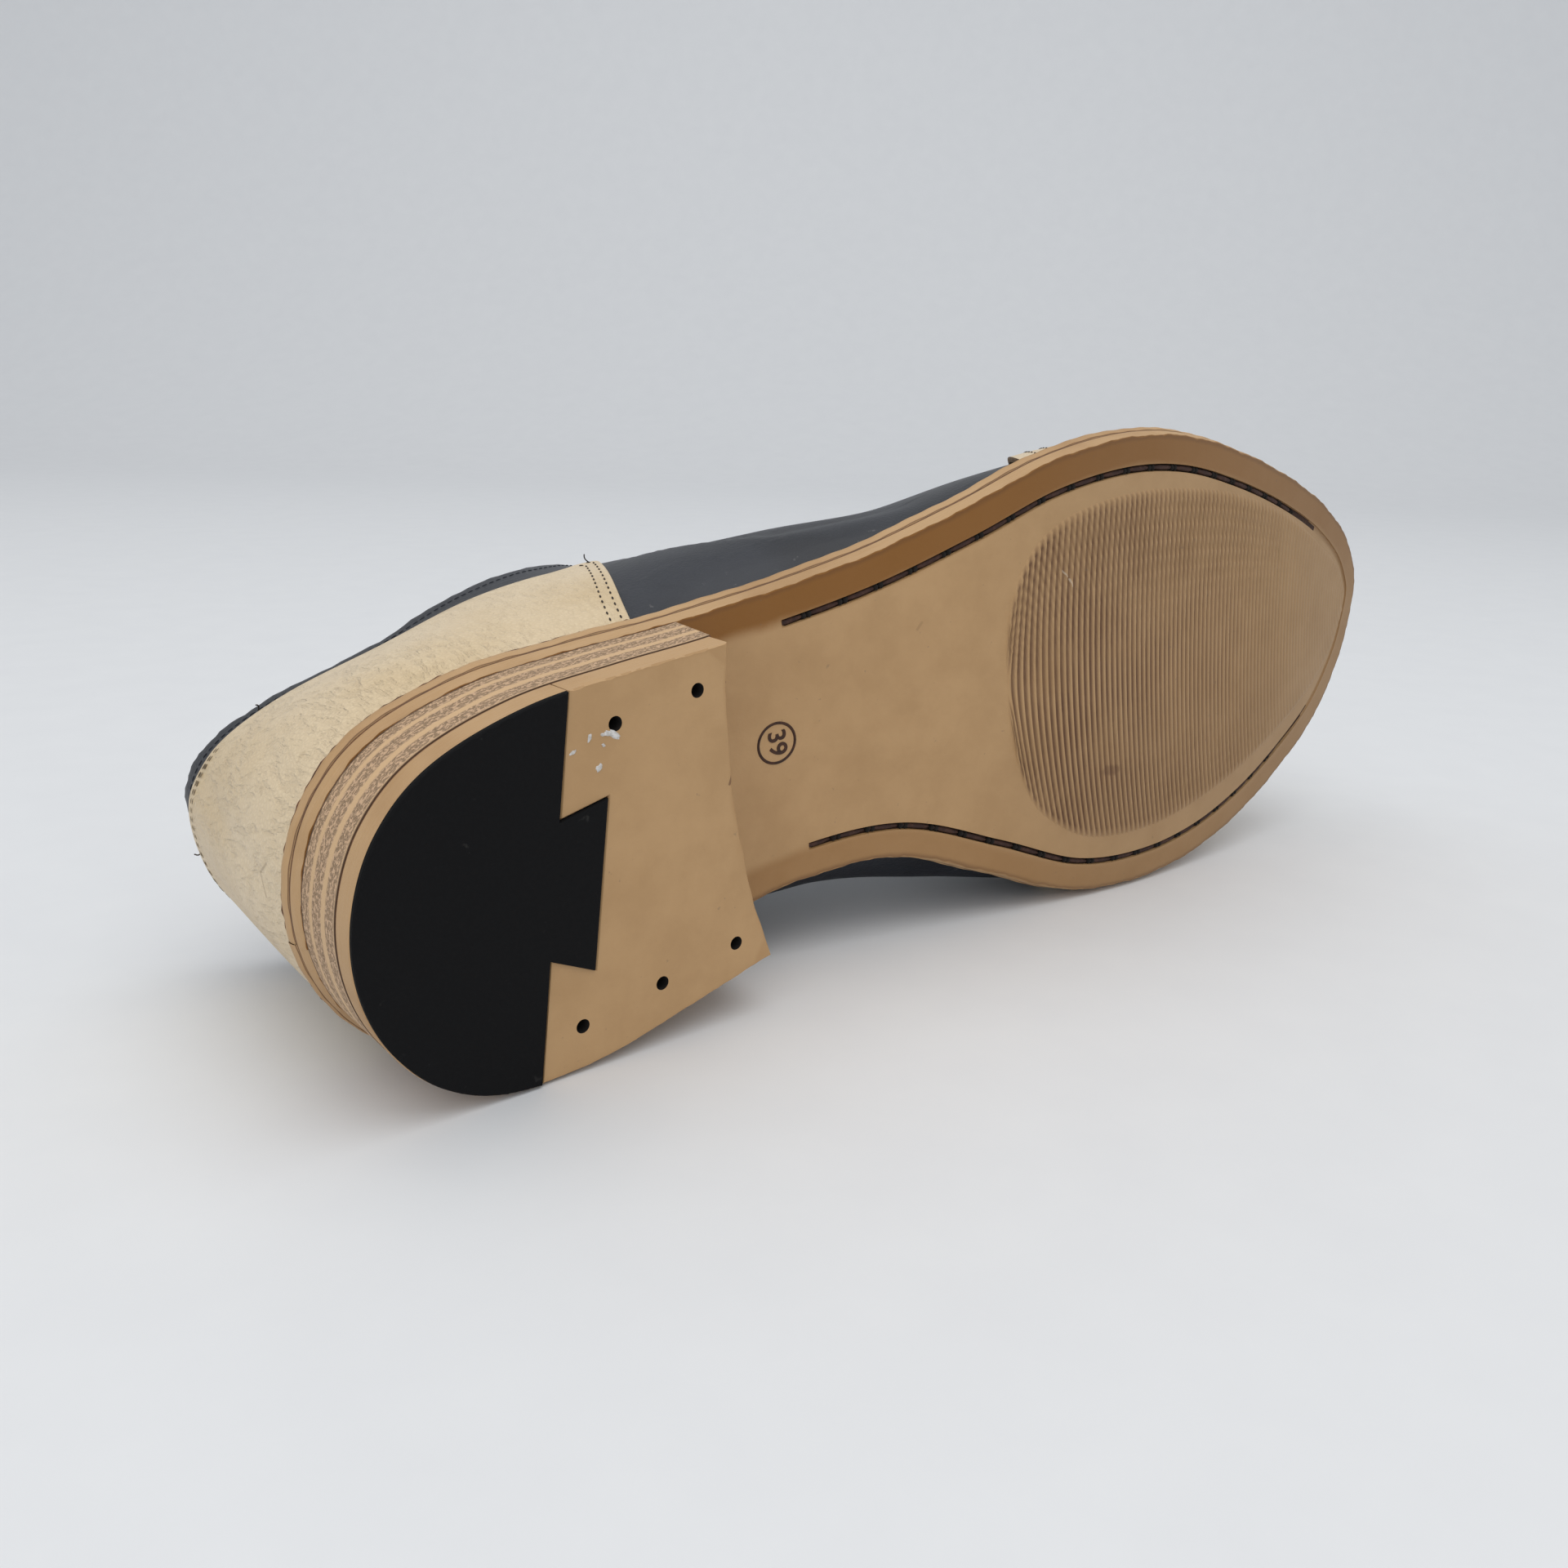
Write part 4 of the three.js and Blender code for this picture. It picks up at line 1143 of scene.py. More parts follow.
@dataclass(frozen=True)
class Rubber:
    """Matt black rubber with a fine moulded texture."""

    name: str = "heel_rubber"
    base: Colour = (0.004, 0.004, 0.0045)
    dust: Colour = (0.05, 0.048, 0.045)

    def material(self) -> bpy.types.Material:
        """Builds the finish."""
        s = Shader(self.name)
        texture = s.noise(1600, 3, 0.6)
        dust = s.noise(300, 4).step(0.68, 0.76)
        colour = s.blend(dust * 0.35, self.base, self.dust)
        rough = 0.78 + texture * 0.12
        return s.close(colour, rough, s.bump(texture, 0.06), Specular_IOR_Level=0.18)


@dataclass(frozen=True)
class Thread:
    """Twisted thread or cord."""

    name: str
    base: Colour
    fleck: Colour
    twist: float = 900

    def material(self) -> bpy.types.Material:
        """Builds the finish."""
        s = Shader(self.name)
        strand = s.noise(self.twist, 2)
        colour = s.blend(strand.step(0.4, 0.7), self.base, self.fleck)
        return s.close(colour, 0.75, s.bump(strand, 0.15))


@dataclass(frozen=True)
class BurntEnamel:
    """Dark enamelled metal of the eyelets."""

    name: str = "eyelet_metal"
    base: Colour = (0.03, 0.03, 0.03)

    def material(self) -> bpy.types.Material:
        """Builds the finish."""
        s = Shader(self.name)
        worn = s.noise(600, 3)
        colour = s.blend(worn.step(0.6, 0.8), self.base, (0.09, 0.08, 0.07))
        return s.close(colour, 0.3 + worn * 0.15, None, Metallic=0.7)


@dataclass(frozen=True)
class Paint:
    """Dried specks of pale paint."""

    name: str = "paint_specks"
    base: Colour = (0.7, 0.68, 0.66)

    def material(self) -> bpy.types.Material:
        """Builds the finish."""
        s = Shader(self.name)
        crumb = s.noise(1800, 3)
        colour = s.blend(crumb.step(0.35, 0.7), (0.5, 0.47, 0.43), self.base)
        return s.close(colour, 0.5, s.bump(crumb, 0.15))


class Wardrobe:
    """Every finish, made once and handed out by name."""

    def __init__(self) -> None:
        """Builds the materials."""
        finishes = [
            CreamLeather(),
            NavyLeather(),
            PlainLeather("lining_leather", (0.6, 0.44, 0.27), (0.5, 0.35, 0.2)),
            PlainLeather("raw_edge", (0.07, 0.06, 0.06), (0.03, 0.028, 0.03), 0.8, 900),
            PlainLeather("cut_cream", (0.3, 0.2, 0.11), (0.13, 0.075, 0.035), 0.8, 900),
            # Dark finish: painted shade in the sole's groove, and the colour of the pressed size mark.
            PlainLeather("groove_shade_and_stamp", (0.07, 0.026, 0.012), (0.025, 0.01, 0.005), 0.7, 900),
            PlainLeather("bond_line", (0.2, 0.085, 0.035), (0.05, 0.018, 0.008), 0.6, 700),
            SoleLeather("sole_leather", SolePart.GROUND),
            SoleLeather("sole_ribs", SolePart.RIBS),
            SoleLeather("sole_edge", SolePart.EDGE),
            StackLeather(),
            Rubber(),
            Thread("dark_thread", (0.02, 0.014, 0.01), (0.07, 0.05, 0.035)),
            Thread("sole_thread", (0.03, 0.009, 0.005), (0.06, 0.022, 0.012)),
            Thread("back_thread", (0.17, 0.13, 0.085), (0.32, 0.26, 0.18)),
            Thread("navy_thread", (0.012, 0.014, 0.02), (0.03, 0.034, 0.045)),
            Thread("lace_cotton", (0.012, 0.014, 0.02), (0.04, 0.044, 0.055), 700),
            BurntEnamel(),
            Paint(),
            # Painted shade for the insides of the stitch holes and the nail holes.
            PlainLeather("painted_hole_shade", (0.012, 0.008, 0.006), (0.004, 0.003, 0.002), 0.9, 900),
        ]
        self.materials = {finish.name: finish.material() for finish in finishes}

    def dress(self, obj: bpy.types.Object, *names: str) -> bpy.types.Object:
        """Gives an object its materials, in order."""
        obj.data.materials.clear()
        for name in names:
            obj.data.materials.append(self.materials[name])
        return obj

    def cover(self, obj: bpy.types.Object, finish: str, slot: str, *nodes: str) -> None:
        """Dresses a closed piece in one finish and puts it on the shoe."""
        self.dress(obj, finish)
        face_outwards(obj)
        ride(obj, slot, *nodes)

    def sew_on(
        self, name: str, stitching: "Stitching", paths: Sequence[Array], thread: str
    ) -> None:
        """Sews rows of stitches in a thread and puts them on the shoe."""
        ride(stitching.sew(name, paths, self.materials[thread]), "lace_cotton")


def grown(
    obj: bpy.types.Object, name: str, group: bpy.types.NodeTree, values: dict[str, object]
) -> bpy.types.Object:
    """Runs a node tree on an object and keeps the result as a plain mesh.

    Args:
        obj: The object that the tree works on.
        name: Name of the modifier.
        group: The tree.
        values: What its inputs get, by their names.

    Returns:
        The same object.
    """
    modifier = obj.modifiers.new(name, "NODES")
    modifier.node_group = group
    for item in group.interface.items_tree:
        if item.in_out == "INPUT" and item.name in values:
            modifier[item.identifier] = values[item.name]
    applied(obj)
    obj.data.shade_smooth()
    return obj


@dataclass(frozen=True)
class Stitching:
    """Thread stitches along a path, made by a node tree of named sizes."""

    pitch: float = 2.4
    length: float = 1.7
    thickness: float = 0.55
    tree_name: str = "stitch_row"

    def tree(self) -> bpy.types.NodeTree:
        """The node tree, made the first time that it is asked for."""
        found = bpy.data.node_groups.get(self.tree_name)
        if found:
            return found
        sizes = ("Pitch", "Length", "Thickness")
        t = GeometryTree(self.tree_name, "Path", sizes, "Thread", "Stitches")
        given = t.given
        curve = t.node("GeometryNodeMeshToCurve", {}, {"Mesh": given["Path"]})
        spots = t.node(
            "GeometryNodeCurveToPoints",
            {"mode": "LENGTH"},
            {"Curve": curve.outputs[0], "Length": given["Pitch"]},
        )
        turn = t.node(
            "FunctionNodeAlignRotationToVector",
            {"axis": "Z"},
            {"Vector": spots.outputs["Tangent"]},
        )
        stitch = t.node("GeometryNodeMeshUVSphere", {}, {"Segments": 8, "Rings": 6, "Radius": 0.5})
        size = t.node(
            "ShaderNodeCombineXYZ",
            {},
            {0: given["Thickness"], 1: given["Thickness"], 2: given["Length"]},
        )
        placed = t.node(
            "GeometryNodeInstanceOnPoints",
            {},
            {
                "Points": spots.outputs["Points"],
                "Instance": stitch.outputs["Mesh"],
                "Rotation": turn.outputs[0],
                "Scale": size.outputs[0],
            },
        )
        return t.close(placed.outputs[0])

    def sew(
        self, name: str, paths: Sequence[Array], material: bpy.types.Material
    ) -> bpy.types.Object:
        """Sews stitches along paths of standing points.

        Args:
            name: Name of the piece.
            paths: One array of points for each row of stitches.
            material: The thread.

        Returns:
            The stitches as a plain mesh.
        """
        points = np.concatenate(paths)
        edges = []
        start = 0
        for path in paths:
            edges += [(start + i, start + i + 1) for i in range(len(path) - 1)]
            start += len(path)
        obj = make_object(name, points, [], edges=edges)
        values = {
            "Pitch": self.pitch * MM,
            "Length": self.length * MM,
            "Thickness": self.thickness * MM,
            "Thread": material,
        }
        return grown(obj, "stitches", self.tree(), values)


def ride(obj: bpy.types.Object, slot: str, *nodes: str) -> bpy.types.Object:
    """Puts a finished piece on the shoe, hides the model parts that it replaces and logs its face count.
    """
    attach(obj, BODY)
    if nodes:
        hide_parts(*nodes)
    LOG.info("%s: %d faces", obj.name, len(obj.data.polygons))
    return obj


def smooth_path(points: Array, count: int) -> Array:
    """Draws a smooth line through a few points.

    Args:
        points: The points to pass through.
        count: How many points the line gets.

    Returns:
        The points of the line.
    """
    padded = np.vstack([2 * points[:1] - points[1:2], points, 2 * points[-1:] - points[-2:-1]])
    place = np.linspace(0, len(points) - 1, count)
    first = np.minimum(place.astype(int), len(points) - 2)
    nearby = (padded[first + step] for step in range(4))
    return through(*nearby, (place - first)[:, None])


def surface_path(ring: Array, share: Array, lift: float) -> Array:
    """Points on the last, lifted off it by some millimetres."""
    return LAST.point(ring, share) + LAST.normal(ring, share) * lift


@dataclass(frozen=True)
class Crease:
    """A soft trough, or a ridge where its depth is negative, between two places."""

    start: tuple[float, float]
    end: tuple[float, float]
    width: float
    depth: float

    def sink(self, points: Array) -> Array:
        """How far each point goes in."""
        t = np.linspace(0, 1, 14)
        ring = self.start[0] + (self.end[0] - self.start[0]) * t
        share = self.start[1] + (self.end[1] - self.start[1]) * t
        line = LAST.point(ring, share)
        fade = np.sin(math.pi * np.clip(t * 0.86 + 0.07, 0, 1)) ** 0.5
        total = np.zeros(points.shape[:-1])
        for spot, strength in zip(line, fade):
            away = np.sum((points - spot) ** 2, axis=-1)
            total = np.maximum(total, strength * np.exp(-away / self.width**2))
        return total * self.depth


@dataclass
class Sole:
    """Outsole, midsole and insole."""

    wardrobe: Wardrobe
    ring_step: float = 0.05
    groove_inset: float = 6.4
    groove_width: float = 1.5
    groove_depth: float = 1.0
    groove_start_row: float = 7.08
    crown: float = 0.9
    rib_pitch: float = 1.5
    rib_depth: float = 0.45
    rib_proud: float = 0.5
    stitch_pitch: float = 7.5
    groove_skin: float = 0.46
    bond_radius: float = 0.26
    bond_reach: float = 0.62
    rib_bow: float = 1.1
    rib_bow_length: float = 12
    edge_reach: float = 3.0
    crown_rise: tuple[float, float] = (95, 160)
    crown_fall: tuple[float, float] = (225, 268)
    spine_reach: tuple[float, float] = (16, 248)
    mark_place: tuple[float, float] = (87.5, -0.9)
    mark_radius: float = 3.75
    mark_line: float = 0.27
    mark_depth: float = 0.2

    def build(self) -> None:
        """Makes every layer and its stitches."""
        self._outsole()
        self._ribs()
        self._groove_stitches()
        self._midsole()
        self._bond_line()
        self._size_mark()

    def _stations(self) -> Array:
        """Places round the sole, with the first one again at the end."""
        return np.linspace(0, RING_ROWS, int(RING_ROWS / self.ring_step) + 1)

    def _run(self, ring: Array) -> Array:
        """Millimetres along the edge at each station."""
        edge = LAST.outline(ring)
        steps = np.linalg.norm(np.diff(edge, axis=0), axis=1)
        return np.concatenate([[0], np.cumsum(steps)])

    def _underside(self, plan: Array) -> Array:
        """Height of the crowned underside at plan points."""
        x, y = plan[..., 0], plan[..., 1]
        middle, half = LAST.middle(x)
        across = np.clip((y - middle) / half, -1, 1)
        bell = smoothstep(*self.crown_rise, x) * (1 - smoothstep(*self.crown_fall, x))
        return LAST.ground(x) - self.crown * bell * (1 - across**2) ** 2

    def _spine(self, ring: Array) -> Array:
        """Plan points in the middle of the sole, opposite each station."""
        row = ring_row(ring)
        centre = (LAST.outline(row) + LAST.outline(RING_ROWS - row)) / 2
        x = np.clip(centre[:, 0], *self.spine_reach)
        middle, _ = LAST.middle(x)
        return np.stack([x, middle], -1)

    def _outsole(self) -> None:
        """The long sole with its groove, rough-cut edge and crowned forepart."""
        ring = self._stations()
        run = self._run(ring)
        spine = self._spine(ring)
        half = self.groove_width / 2
        low, high = self.groove_inset - half, self.groove_inset + half
        edge_wave = ripple(run, ((17, 0.1), (6.1, 0.07), (2.9, 0.05)), 5)
        cut = ripple(run, ((9.3, 0.08), (3.7, 0.09), (1.9, 0.05)), 6)
        side = [(-0.5, 2.6), (-0.48, 2.1), (-0.36, 1.5), (-0.25, 0.9), (-0.1, 0.45), (0.05, 0.15)]
        floor = [0.3, 0.8, 1.6, 3, 4.4, low - 0.25, low, low + 0.06, low + 0.2]
        floor += [self.groove_inset, high - 0.2, high - 0.06, high, high + 0.25, 8.2, 10, 12]
        rounding = 0.03
        points, uv = [], []

        def add(plan: Array, height: Array, depth: float) -> None:
            """Adds one ring of points with its map height."""
            points.append(np.column_stack([plan, height]))
            uv.append(np.column_stack([run, np.full(len(ring), depth)]))

        top_edge = LAST.offset(ring, LAST.outsole_flare)
        for t in (1.0, 0.6, 0.25):
            plan = top_edge + (spine - top_edge) * t
            add(plan, LAST.ground(plan[:, 0]) + LAST.outsole, 20.0)
        for inset, height in side:
            plan = LAST.offset(ring, -(inset + edge_wave * (1 - height / LAST.outsole)))
            add(plan, LAST.ground(plan[:, 0]) + height, LAST.outsole - height)
        start = self._groove_ends(ring, run)
        for inset in floor:
            rough = (edge_wave + cut) * smoothstep(1.2, 0.2, np.array(inset))
            plan = LAST.offset(ring, -(inset + rough))
            z = self._underside(plan)
            if low < inset < high:
                depth = self.groove_depth * (1.0 if low + 0.1 < inset < high - 0.1 else 0.7)
                worn = 1 - 0.55 * smoothstep(228, 245, plan[:, 0])
                z = z + depth * start * worn
            if inset == floor[0]:
                z = z + rounding
            add(plan, z, inset)
        inner = LAST.offset(ring, -floor[-1])
        for t in np.linspace(0, 1, 15)[1:]:
            plan = inner + (spine - inner) * t
            add(plan, self._underside(plan), 12 + 30 * t)
        obj = make_grid("outsole_leather", np.stack(points), np.stack(uv), 35)
        self.wardrobe.dress(obj, "sole_leather", "sole_edge", "groove_shade_and_stamp")
        self._paint_rows(obj)
        face_outwards(obj)
        ride(obj, "sole_leather", "outsole")

    def _paint_rows(self, obj: bpy.types.Object) -> None:
        """Gives each band of the outsole its material, by the height inside the sole."""
        layer = obj.data.uv_layers["place"]
        half = self.groove_width / 2
        for face in obj.data.polygons:
            insets = [layer.data[k].uv[1] for k in face.loop_indices]
            centre = sum(insets) / len(insets)
            normal = LAID.standing_direction(face.normal)
            if abs(normal[2]) < UPRIGHT and centre < self.edge_reach:
                face.material_index = 1
            # Faces sunk in the groove get the dark finish: painted shade in the groove.
            inside = self.groove_inset - half < centre < self.groove_inset + half
            if inside and self._grooved(face):
                face.material_index = 2

    def _grooved(self, face: bpy.types.MeshPolygon) -> bool:
        """Whether a face lies below the sole's skin, in the groove."""
        spot = LAID.to_standing(face.center)
        skin = self._underside(spot[None, :2])[0]
        return bool(spot[2] - skin > self.groove_skin)

    def _groove_ends(self, ring: Array, run: Array) -> Array:
        """1 along the groove and 0 past its ends, with a short slope."""
        first = np.interp(self.groove_start_row, ring, run)
        last = np.interp(RING_ROWS - self.groove_start_row, ring, run)
        return smoothstep(first - 0.3, first + 0.6, run) * smoothstep(last + 0.3, last - 0.6, run)

    def _rib_outline(self) -> tuple[Array, Array, Array]:
        """Ribbed field: stations along the shoe with its two borders."""
        corners = np.array(
            [
                (136.3, 1), (138, -12), (143.4, -21.9), (152, -26.6), (165, -27.8),
                (182, -25.6), (205, -19), (228, -8.5), (246, 3.5), (257, 12),
                (262, 20), (259.5, 29), (248, 38), (226.3, 44.6), (203, 48.4),
                (180, 48.8), (158.5, 44.2), (147, 36.5), (140.6, 27.9), (137.2, 15),
            ],
            float,
        )
        count = len(corners)
        t = np.linspace(0, count, 800)
        first = np.floor(t).astype(int)
        nearby = (corners[(first + k) % count] for k in (-1, 0, 1, 2))
        loop = through(*nearby, (t - first)[:, None])
        rear, front = int(np.argmin(loop[:, 0])), int(np.argmax(loop[:, 0]))
        rolled = np.roll(loop[:-1], -rear, axis=0)
        split = (front - rear) % (len(loop) - 1)
        outer, inner = rolled[: split + 1], rolled[split:][::-1]
        x = np.linspace(loop[rear, 0] + 0.02, loop[front, 0] - 0.02, 620)
        return (
            x,
            np.interp(x, outer[:, 0], outer[:, 1]),
            np.interp(x, np.r_[rolled[0, 0], inner[:, 0]], np.r_[rolled[0, 1], inner[:, 1]]),
        )

    def _rib_tree(self) -> bpy.types.NodeTree:
        """A node tree that presses grooves of a pitch and a depth into a field."""
        t = GeometryTree("sole_ribs", "Field", ("Pitch", "Depth"), "Leather", "Ribs")
        given = t.given
        reads = {
            name: t.node("GeometryNodeInputNamedAttribute", {"data_type": "FLOAT"}, {"Name": name})
            for name in ("rib_run", "rib_border")
        }
        run = Number(t, reads["rib_run"].outputs["Attribute"])
        border = Number(t, reads["rib_border"].outputs["Attribute"])
        phase = (run / Number(t, given["Pitch"])).fraction()
        away = (phase - 0.5).magnitude()
        channel = away.step(0.37, 0.14) * border
        press = channel * Number(t, given["Depth"])
        kept = t.node(
            "GeometryNodeStoreNamedAttribute",
            {"data_type": "FLOAT", "domain": "POINT"},
            {"Geometry": given["Field"], "Name": "channel", "Value": channel},
        )
        normal = t.node("GeometryNodeInputNormal", {}, {})
        move = t.node(
            "ShaderNodeVectorMath",
            {"operation": "SCALE"},
            {0: normal.outputs[0], "Scale": press * -1.0},
        )
        moved = t.node(
            "GeometryNodeSetPosition", {}, {"Geometry": kept.outputs[0], "Offset": move.outputs[0]}
        )
        return t.close(moved.outputs[0])

    def _ribs(self) -> None:
        """The ribbed field under the ball and the toes."""
        x, outer, inner = self._rib_outline()
        across = np.concatenate([[0, 0.012, 0.03], np.linspace(0.06, 0.94, 22), [0.97, 0.988, 1]])
        y = outer[:, None] + (inner - outer)[:, None] * across[None]
        bow = self.rib_bow * ((across - 0.5) ** 2)[None]
        plan = np.stack([np.broadcast_to(x[:, None], y.shape), y], -1)
        distance = np.minimum(across, 1 - across)[None] * (inner - outer)[:, None]
        ends = np.minimum(x - x[0], x[-1] - x)[:, None]
        inside = np.minimum(distance, ends * 1.5 + 0.02)
        slope = smoothstep(0.0, 1.3, inside)
        z = self._underside(plan) - self.rib_proud * slope + 0.05 * (1 - slope)
        fade = 1 - 0.8 * smoothstep(196, 250, x)
        border = smoothstep(0.1, 1.5, inside) * fade[:, None]
        grid = np.concatenate([plan, z[..., None]], -1)
        uv = np.stack([plan[..., 0], np.full(y.shape, 14.0)], -1)
        rows, columns = y.shape
        obj = make_object("rib_field", grid, grid_faces(rows, columns)[::-1], uv, sharp=80)
        self._store(obj, "rib_run", plan[..., 0] - bow * self.rib_bow_length, grid)
        self._store(obj, "rib_border", border, grid)
        self._flip_towards_ground(obj)
        values = {
            "Pitch": self.rib_pitch,
            "Depth": self.rib_depth * MM,
            "Leather": self.wardrobe.materials["sole_ribs"],
        }
        ride(grown(obj, "ribs", self._rib_tree(), values), "sole_leather")

    def _store(self, obj: bpy.types.Object, name: str, values: Array, grid: Array) -> None:
        """Keeps a number at each point, matched by place."""
        spots = LAID.to_frame(grid.reshape(-1, 3))
        keys = {tuple(np.round(s / WELD).astype(int)): v for s, v in zip(spots, values.ravel())}
        layer = obj.data.attributes.new(name, "FLOAT", "POINT")
        for index, vertex in enumerate(obj.data.vertices):
            key = tuple(np.round(np.array(vertex.co) / WELD).astype(int))
            layer.data[index].value = float(keys.get(key, 0.0))

    def _flip_towards_ground(self, obj: bpy.types.Object) -> None:
        """Turns an open patch under the sole so that it faces the ground."""
        down = LAID.direction((0, 0, -1))
        total = sum((face.normal * face.area for face in obj.data.polygons), Vector())
        if total.dot(down) < 0:
            obj.data.flip_normals()

    def _groove_line(self, inset: float, height: Array, rows: Array) -> Array:
        """Points along the groove."""
        plan = LAST.offset(rows, -inset)
        return np.column_stack([plan, self._underside(plan) + height])

    def _groove_stitches(self) -> None:
        """Thread in the groove, with painted shade, a dark blob, in the hole between two stitches."""
        first = self.groove_start_row + 0.05
        rows = np.linspace(first, RING_ROWS - self.groove_start_row - 0.05, 900)
        sunk = 0.68 + smoothstep(224, 240, LAST.offset(rows, -self.groove_inset)[:, 0])
        line = self._groove_line(self.groove_inset, sunk, rows)
        thread = Stitching(self.stitch_pitch, 7.4, 1.15)
        self.wardrobe.sew_on("sole_stitches", thread, [line], "sole_thread")
        steps = np.concatenate([[0], np.cumsum(np.linalg.norm(np.diff(line, axis=0), axis=1))])
        spots = np.arange(self.stitch_pitch / 2, steps[-1], self.stitch_pitch)
        paths = []
        for spot in spots:
            ends = [spot - 0.55, spot + 0.55]
            line_part = np.stack([np.interp(ends, steps, line[:, k]) for k in range(3)], -1)
            paths.append(line_part - np.array([0, 0, 0.02]))
        self.wardrobe.sew_on("stitch_holes", Stitching(1.0, 1.1, 1.4), paths, "painted_hole_shade")

    def _midsole(self) -> None:
        """The welt layer over the outsole, standing out round the upper."""
        ring = self._stations()
        run = self._run(ring)
        base, top = LAST.midsole_base, LAST.midsole_base + LAST.midsole
        profile = [
            (9.0, base, 9.0), (-0.35, base, 0.3), (-0.6, base + 0.06, 0.1),
            (-0.78, base + 0.35, 0.4), (-0.92, base + 1.0, 1.0), (-0.98, top - 0.3, 1.5),
            (-0.85, top - 0.08, 1.7), (-0.55, top, 1.9), (0.4, top, 2.4), (2.5, top, 3), (9.0, top, 9.0),
        ]
        wave = ripple(run, ((21, 0.08), (5.3, 0.05)), 11)
        points, uv = [], []
        for inset, height, depth in profile:
            plan = LAST.offset(ring, -(inset + (wave if inset < 2 else 0)))
            points.append(np.column_stack([plan, LAST.ground(plan[:, 0]) + height]))
            uv.append(np.column_stack([run, np.full(len(ring), depth)]))
        points.append(points[0])
        uv.append(uv[0])
        obj = make_grid("welt_layer", np.stack(points), np.stack(uv), 50)
        self.wardrobe.cover(obj, "sole_edge", "welt_leather", "midsole")

    def _band(self, name: str, rings: Sequence[Array], finish: str, slot: str) -> None:
        """One closed band made of rings of points."""
        self.wardrobe.cover(make_grid(name, np.stack(rings)), finish, slot)

    def _bond_line(self) -> None:
        """The thin uneven line of cement between the upper and the welt."""
        ring = self._stations()
        run = self._run(ring)
        wave = ripple(run, ((11, 0.05), (3.1, 0.06)), 21)
        radius = self.bond_radius + ripple(run, ((7, 0.03), (2.3, 0.05)), 22)
        row = ring_row(ring)
        pale = np.maximum(smoothstep(6.1, 5.7, row), smoothstep(9.8, 10.2, row))
        overlay_reach = 1.35
        reach = np.minimum(LAST.feather(ring) + 0.15 + overlay_reach * pale, self.bond_reach)
        plan = LAST.offset(ring, reach + wave)
        height = LAST.ground(plan[:, 0]) + LAST.feather_base - 0.12
        outward = LAST.offset(ring, 1.0) - LAST.offset(ring, 0.0)
        sides = 6
        rings = []
        for k in range(sides + 1):
            angle = 2 * math.pi * k / sides
            place = plan + outward * (radius * math.cos(angle) * 1.2)[:, None]
            rings.append(np.column_stack([place, height + radius * math.sin(angle)]))
        self._joint_ring(ring)
        self._band("bond_line", rings, "bond_line", "welt_leather")

    def _joint_ring(self, ring: Array) -> None:
        """The dark joint between the outsole and the welt layer."""
        rings = []
        outer, inner, low, high = -0.46, 2.0, 0.02, 0.98
        section = ((outer, low), (outer, high), (inner, high), (inner, low), (outer, low))
        for inset, level in section:
            plan = LAST.offset(ring, -inset)
            height = LAST.ground(plan[:, 0]) + LAST.outsole + LAST.gap * level
            rings.append(np.column_stack([plan, height]))
        self._band("joint_ring", rings, "bond_line", "welt_leather")

    def _size_mark(self) -> None:
        """A plain size number in a ring, pressed into the waist."""
        centre = np.array(self.mark_place)
        angles = np.linspace(0, 2 * math.pi, 61)
        circle = np.column_stack([np.cos(angles), np.sin(angles)])
        sides = 6
        rings = []
        for k in range(sides + 1):
            turn = 2 * math.pi * k / sides
            plan = centre + circle * (self.mark_radius + self.mark_line * math.cos(turn))
            height = self._underside(plan) + self.mark_depth * math.sin(turn)
            rings.append(np.column_stack([plan, height]))
        self._band("size_ring", rings, "groove_shade_and_stamp", "sole_leather")
        curve = bpy.data.curves.new("size_number", "FONT")
        curve.body = "39"
        curve.size = 5.0
        curve.extrude = 0.1
        curve.offset = 0.07
        curve.align_x = "CENTER"
        curve.align_y = "CENTER"
        text = bpy.data.objects.new("size_number", curve)
        bpy.context.scene.collection.objects.link(text)
        bpy.context.view_layer.update()
        graph = bpy.context.evaluated_depsgraph_get()
        mesh = bpy.data.meshes.new_from_object(text.evaluated_get(graph), depsgraph=graph)
        flat = np.array([v.co for v in mesh.vertices])
        faces = [tuple(p.vertices) for p in mesh.polygons]
        bpy.data.objects.remove(text)
        bpy.data.curves.remove(curve)
        bpy.data.meshes.remove(mesh)
        plan = np.column_stack([centre[0] + flat[:, 1], centre[1] + flat[:, 0]])
        points = np.column_stack([plan, self._underside(plan) - flat[:, 2]])
        obj = make_object("size_number", points, faces, sharp=20)
        self.wardrobe.cover(obj, "groove_shade_and_stamp", "sole_leather")


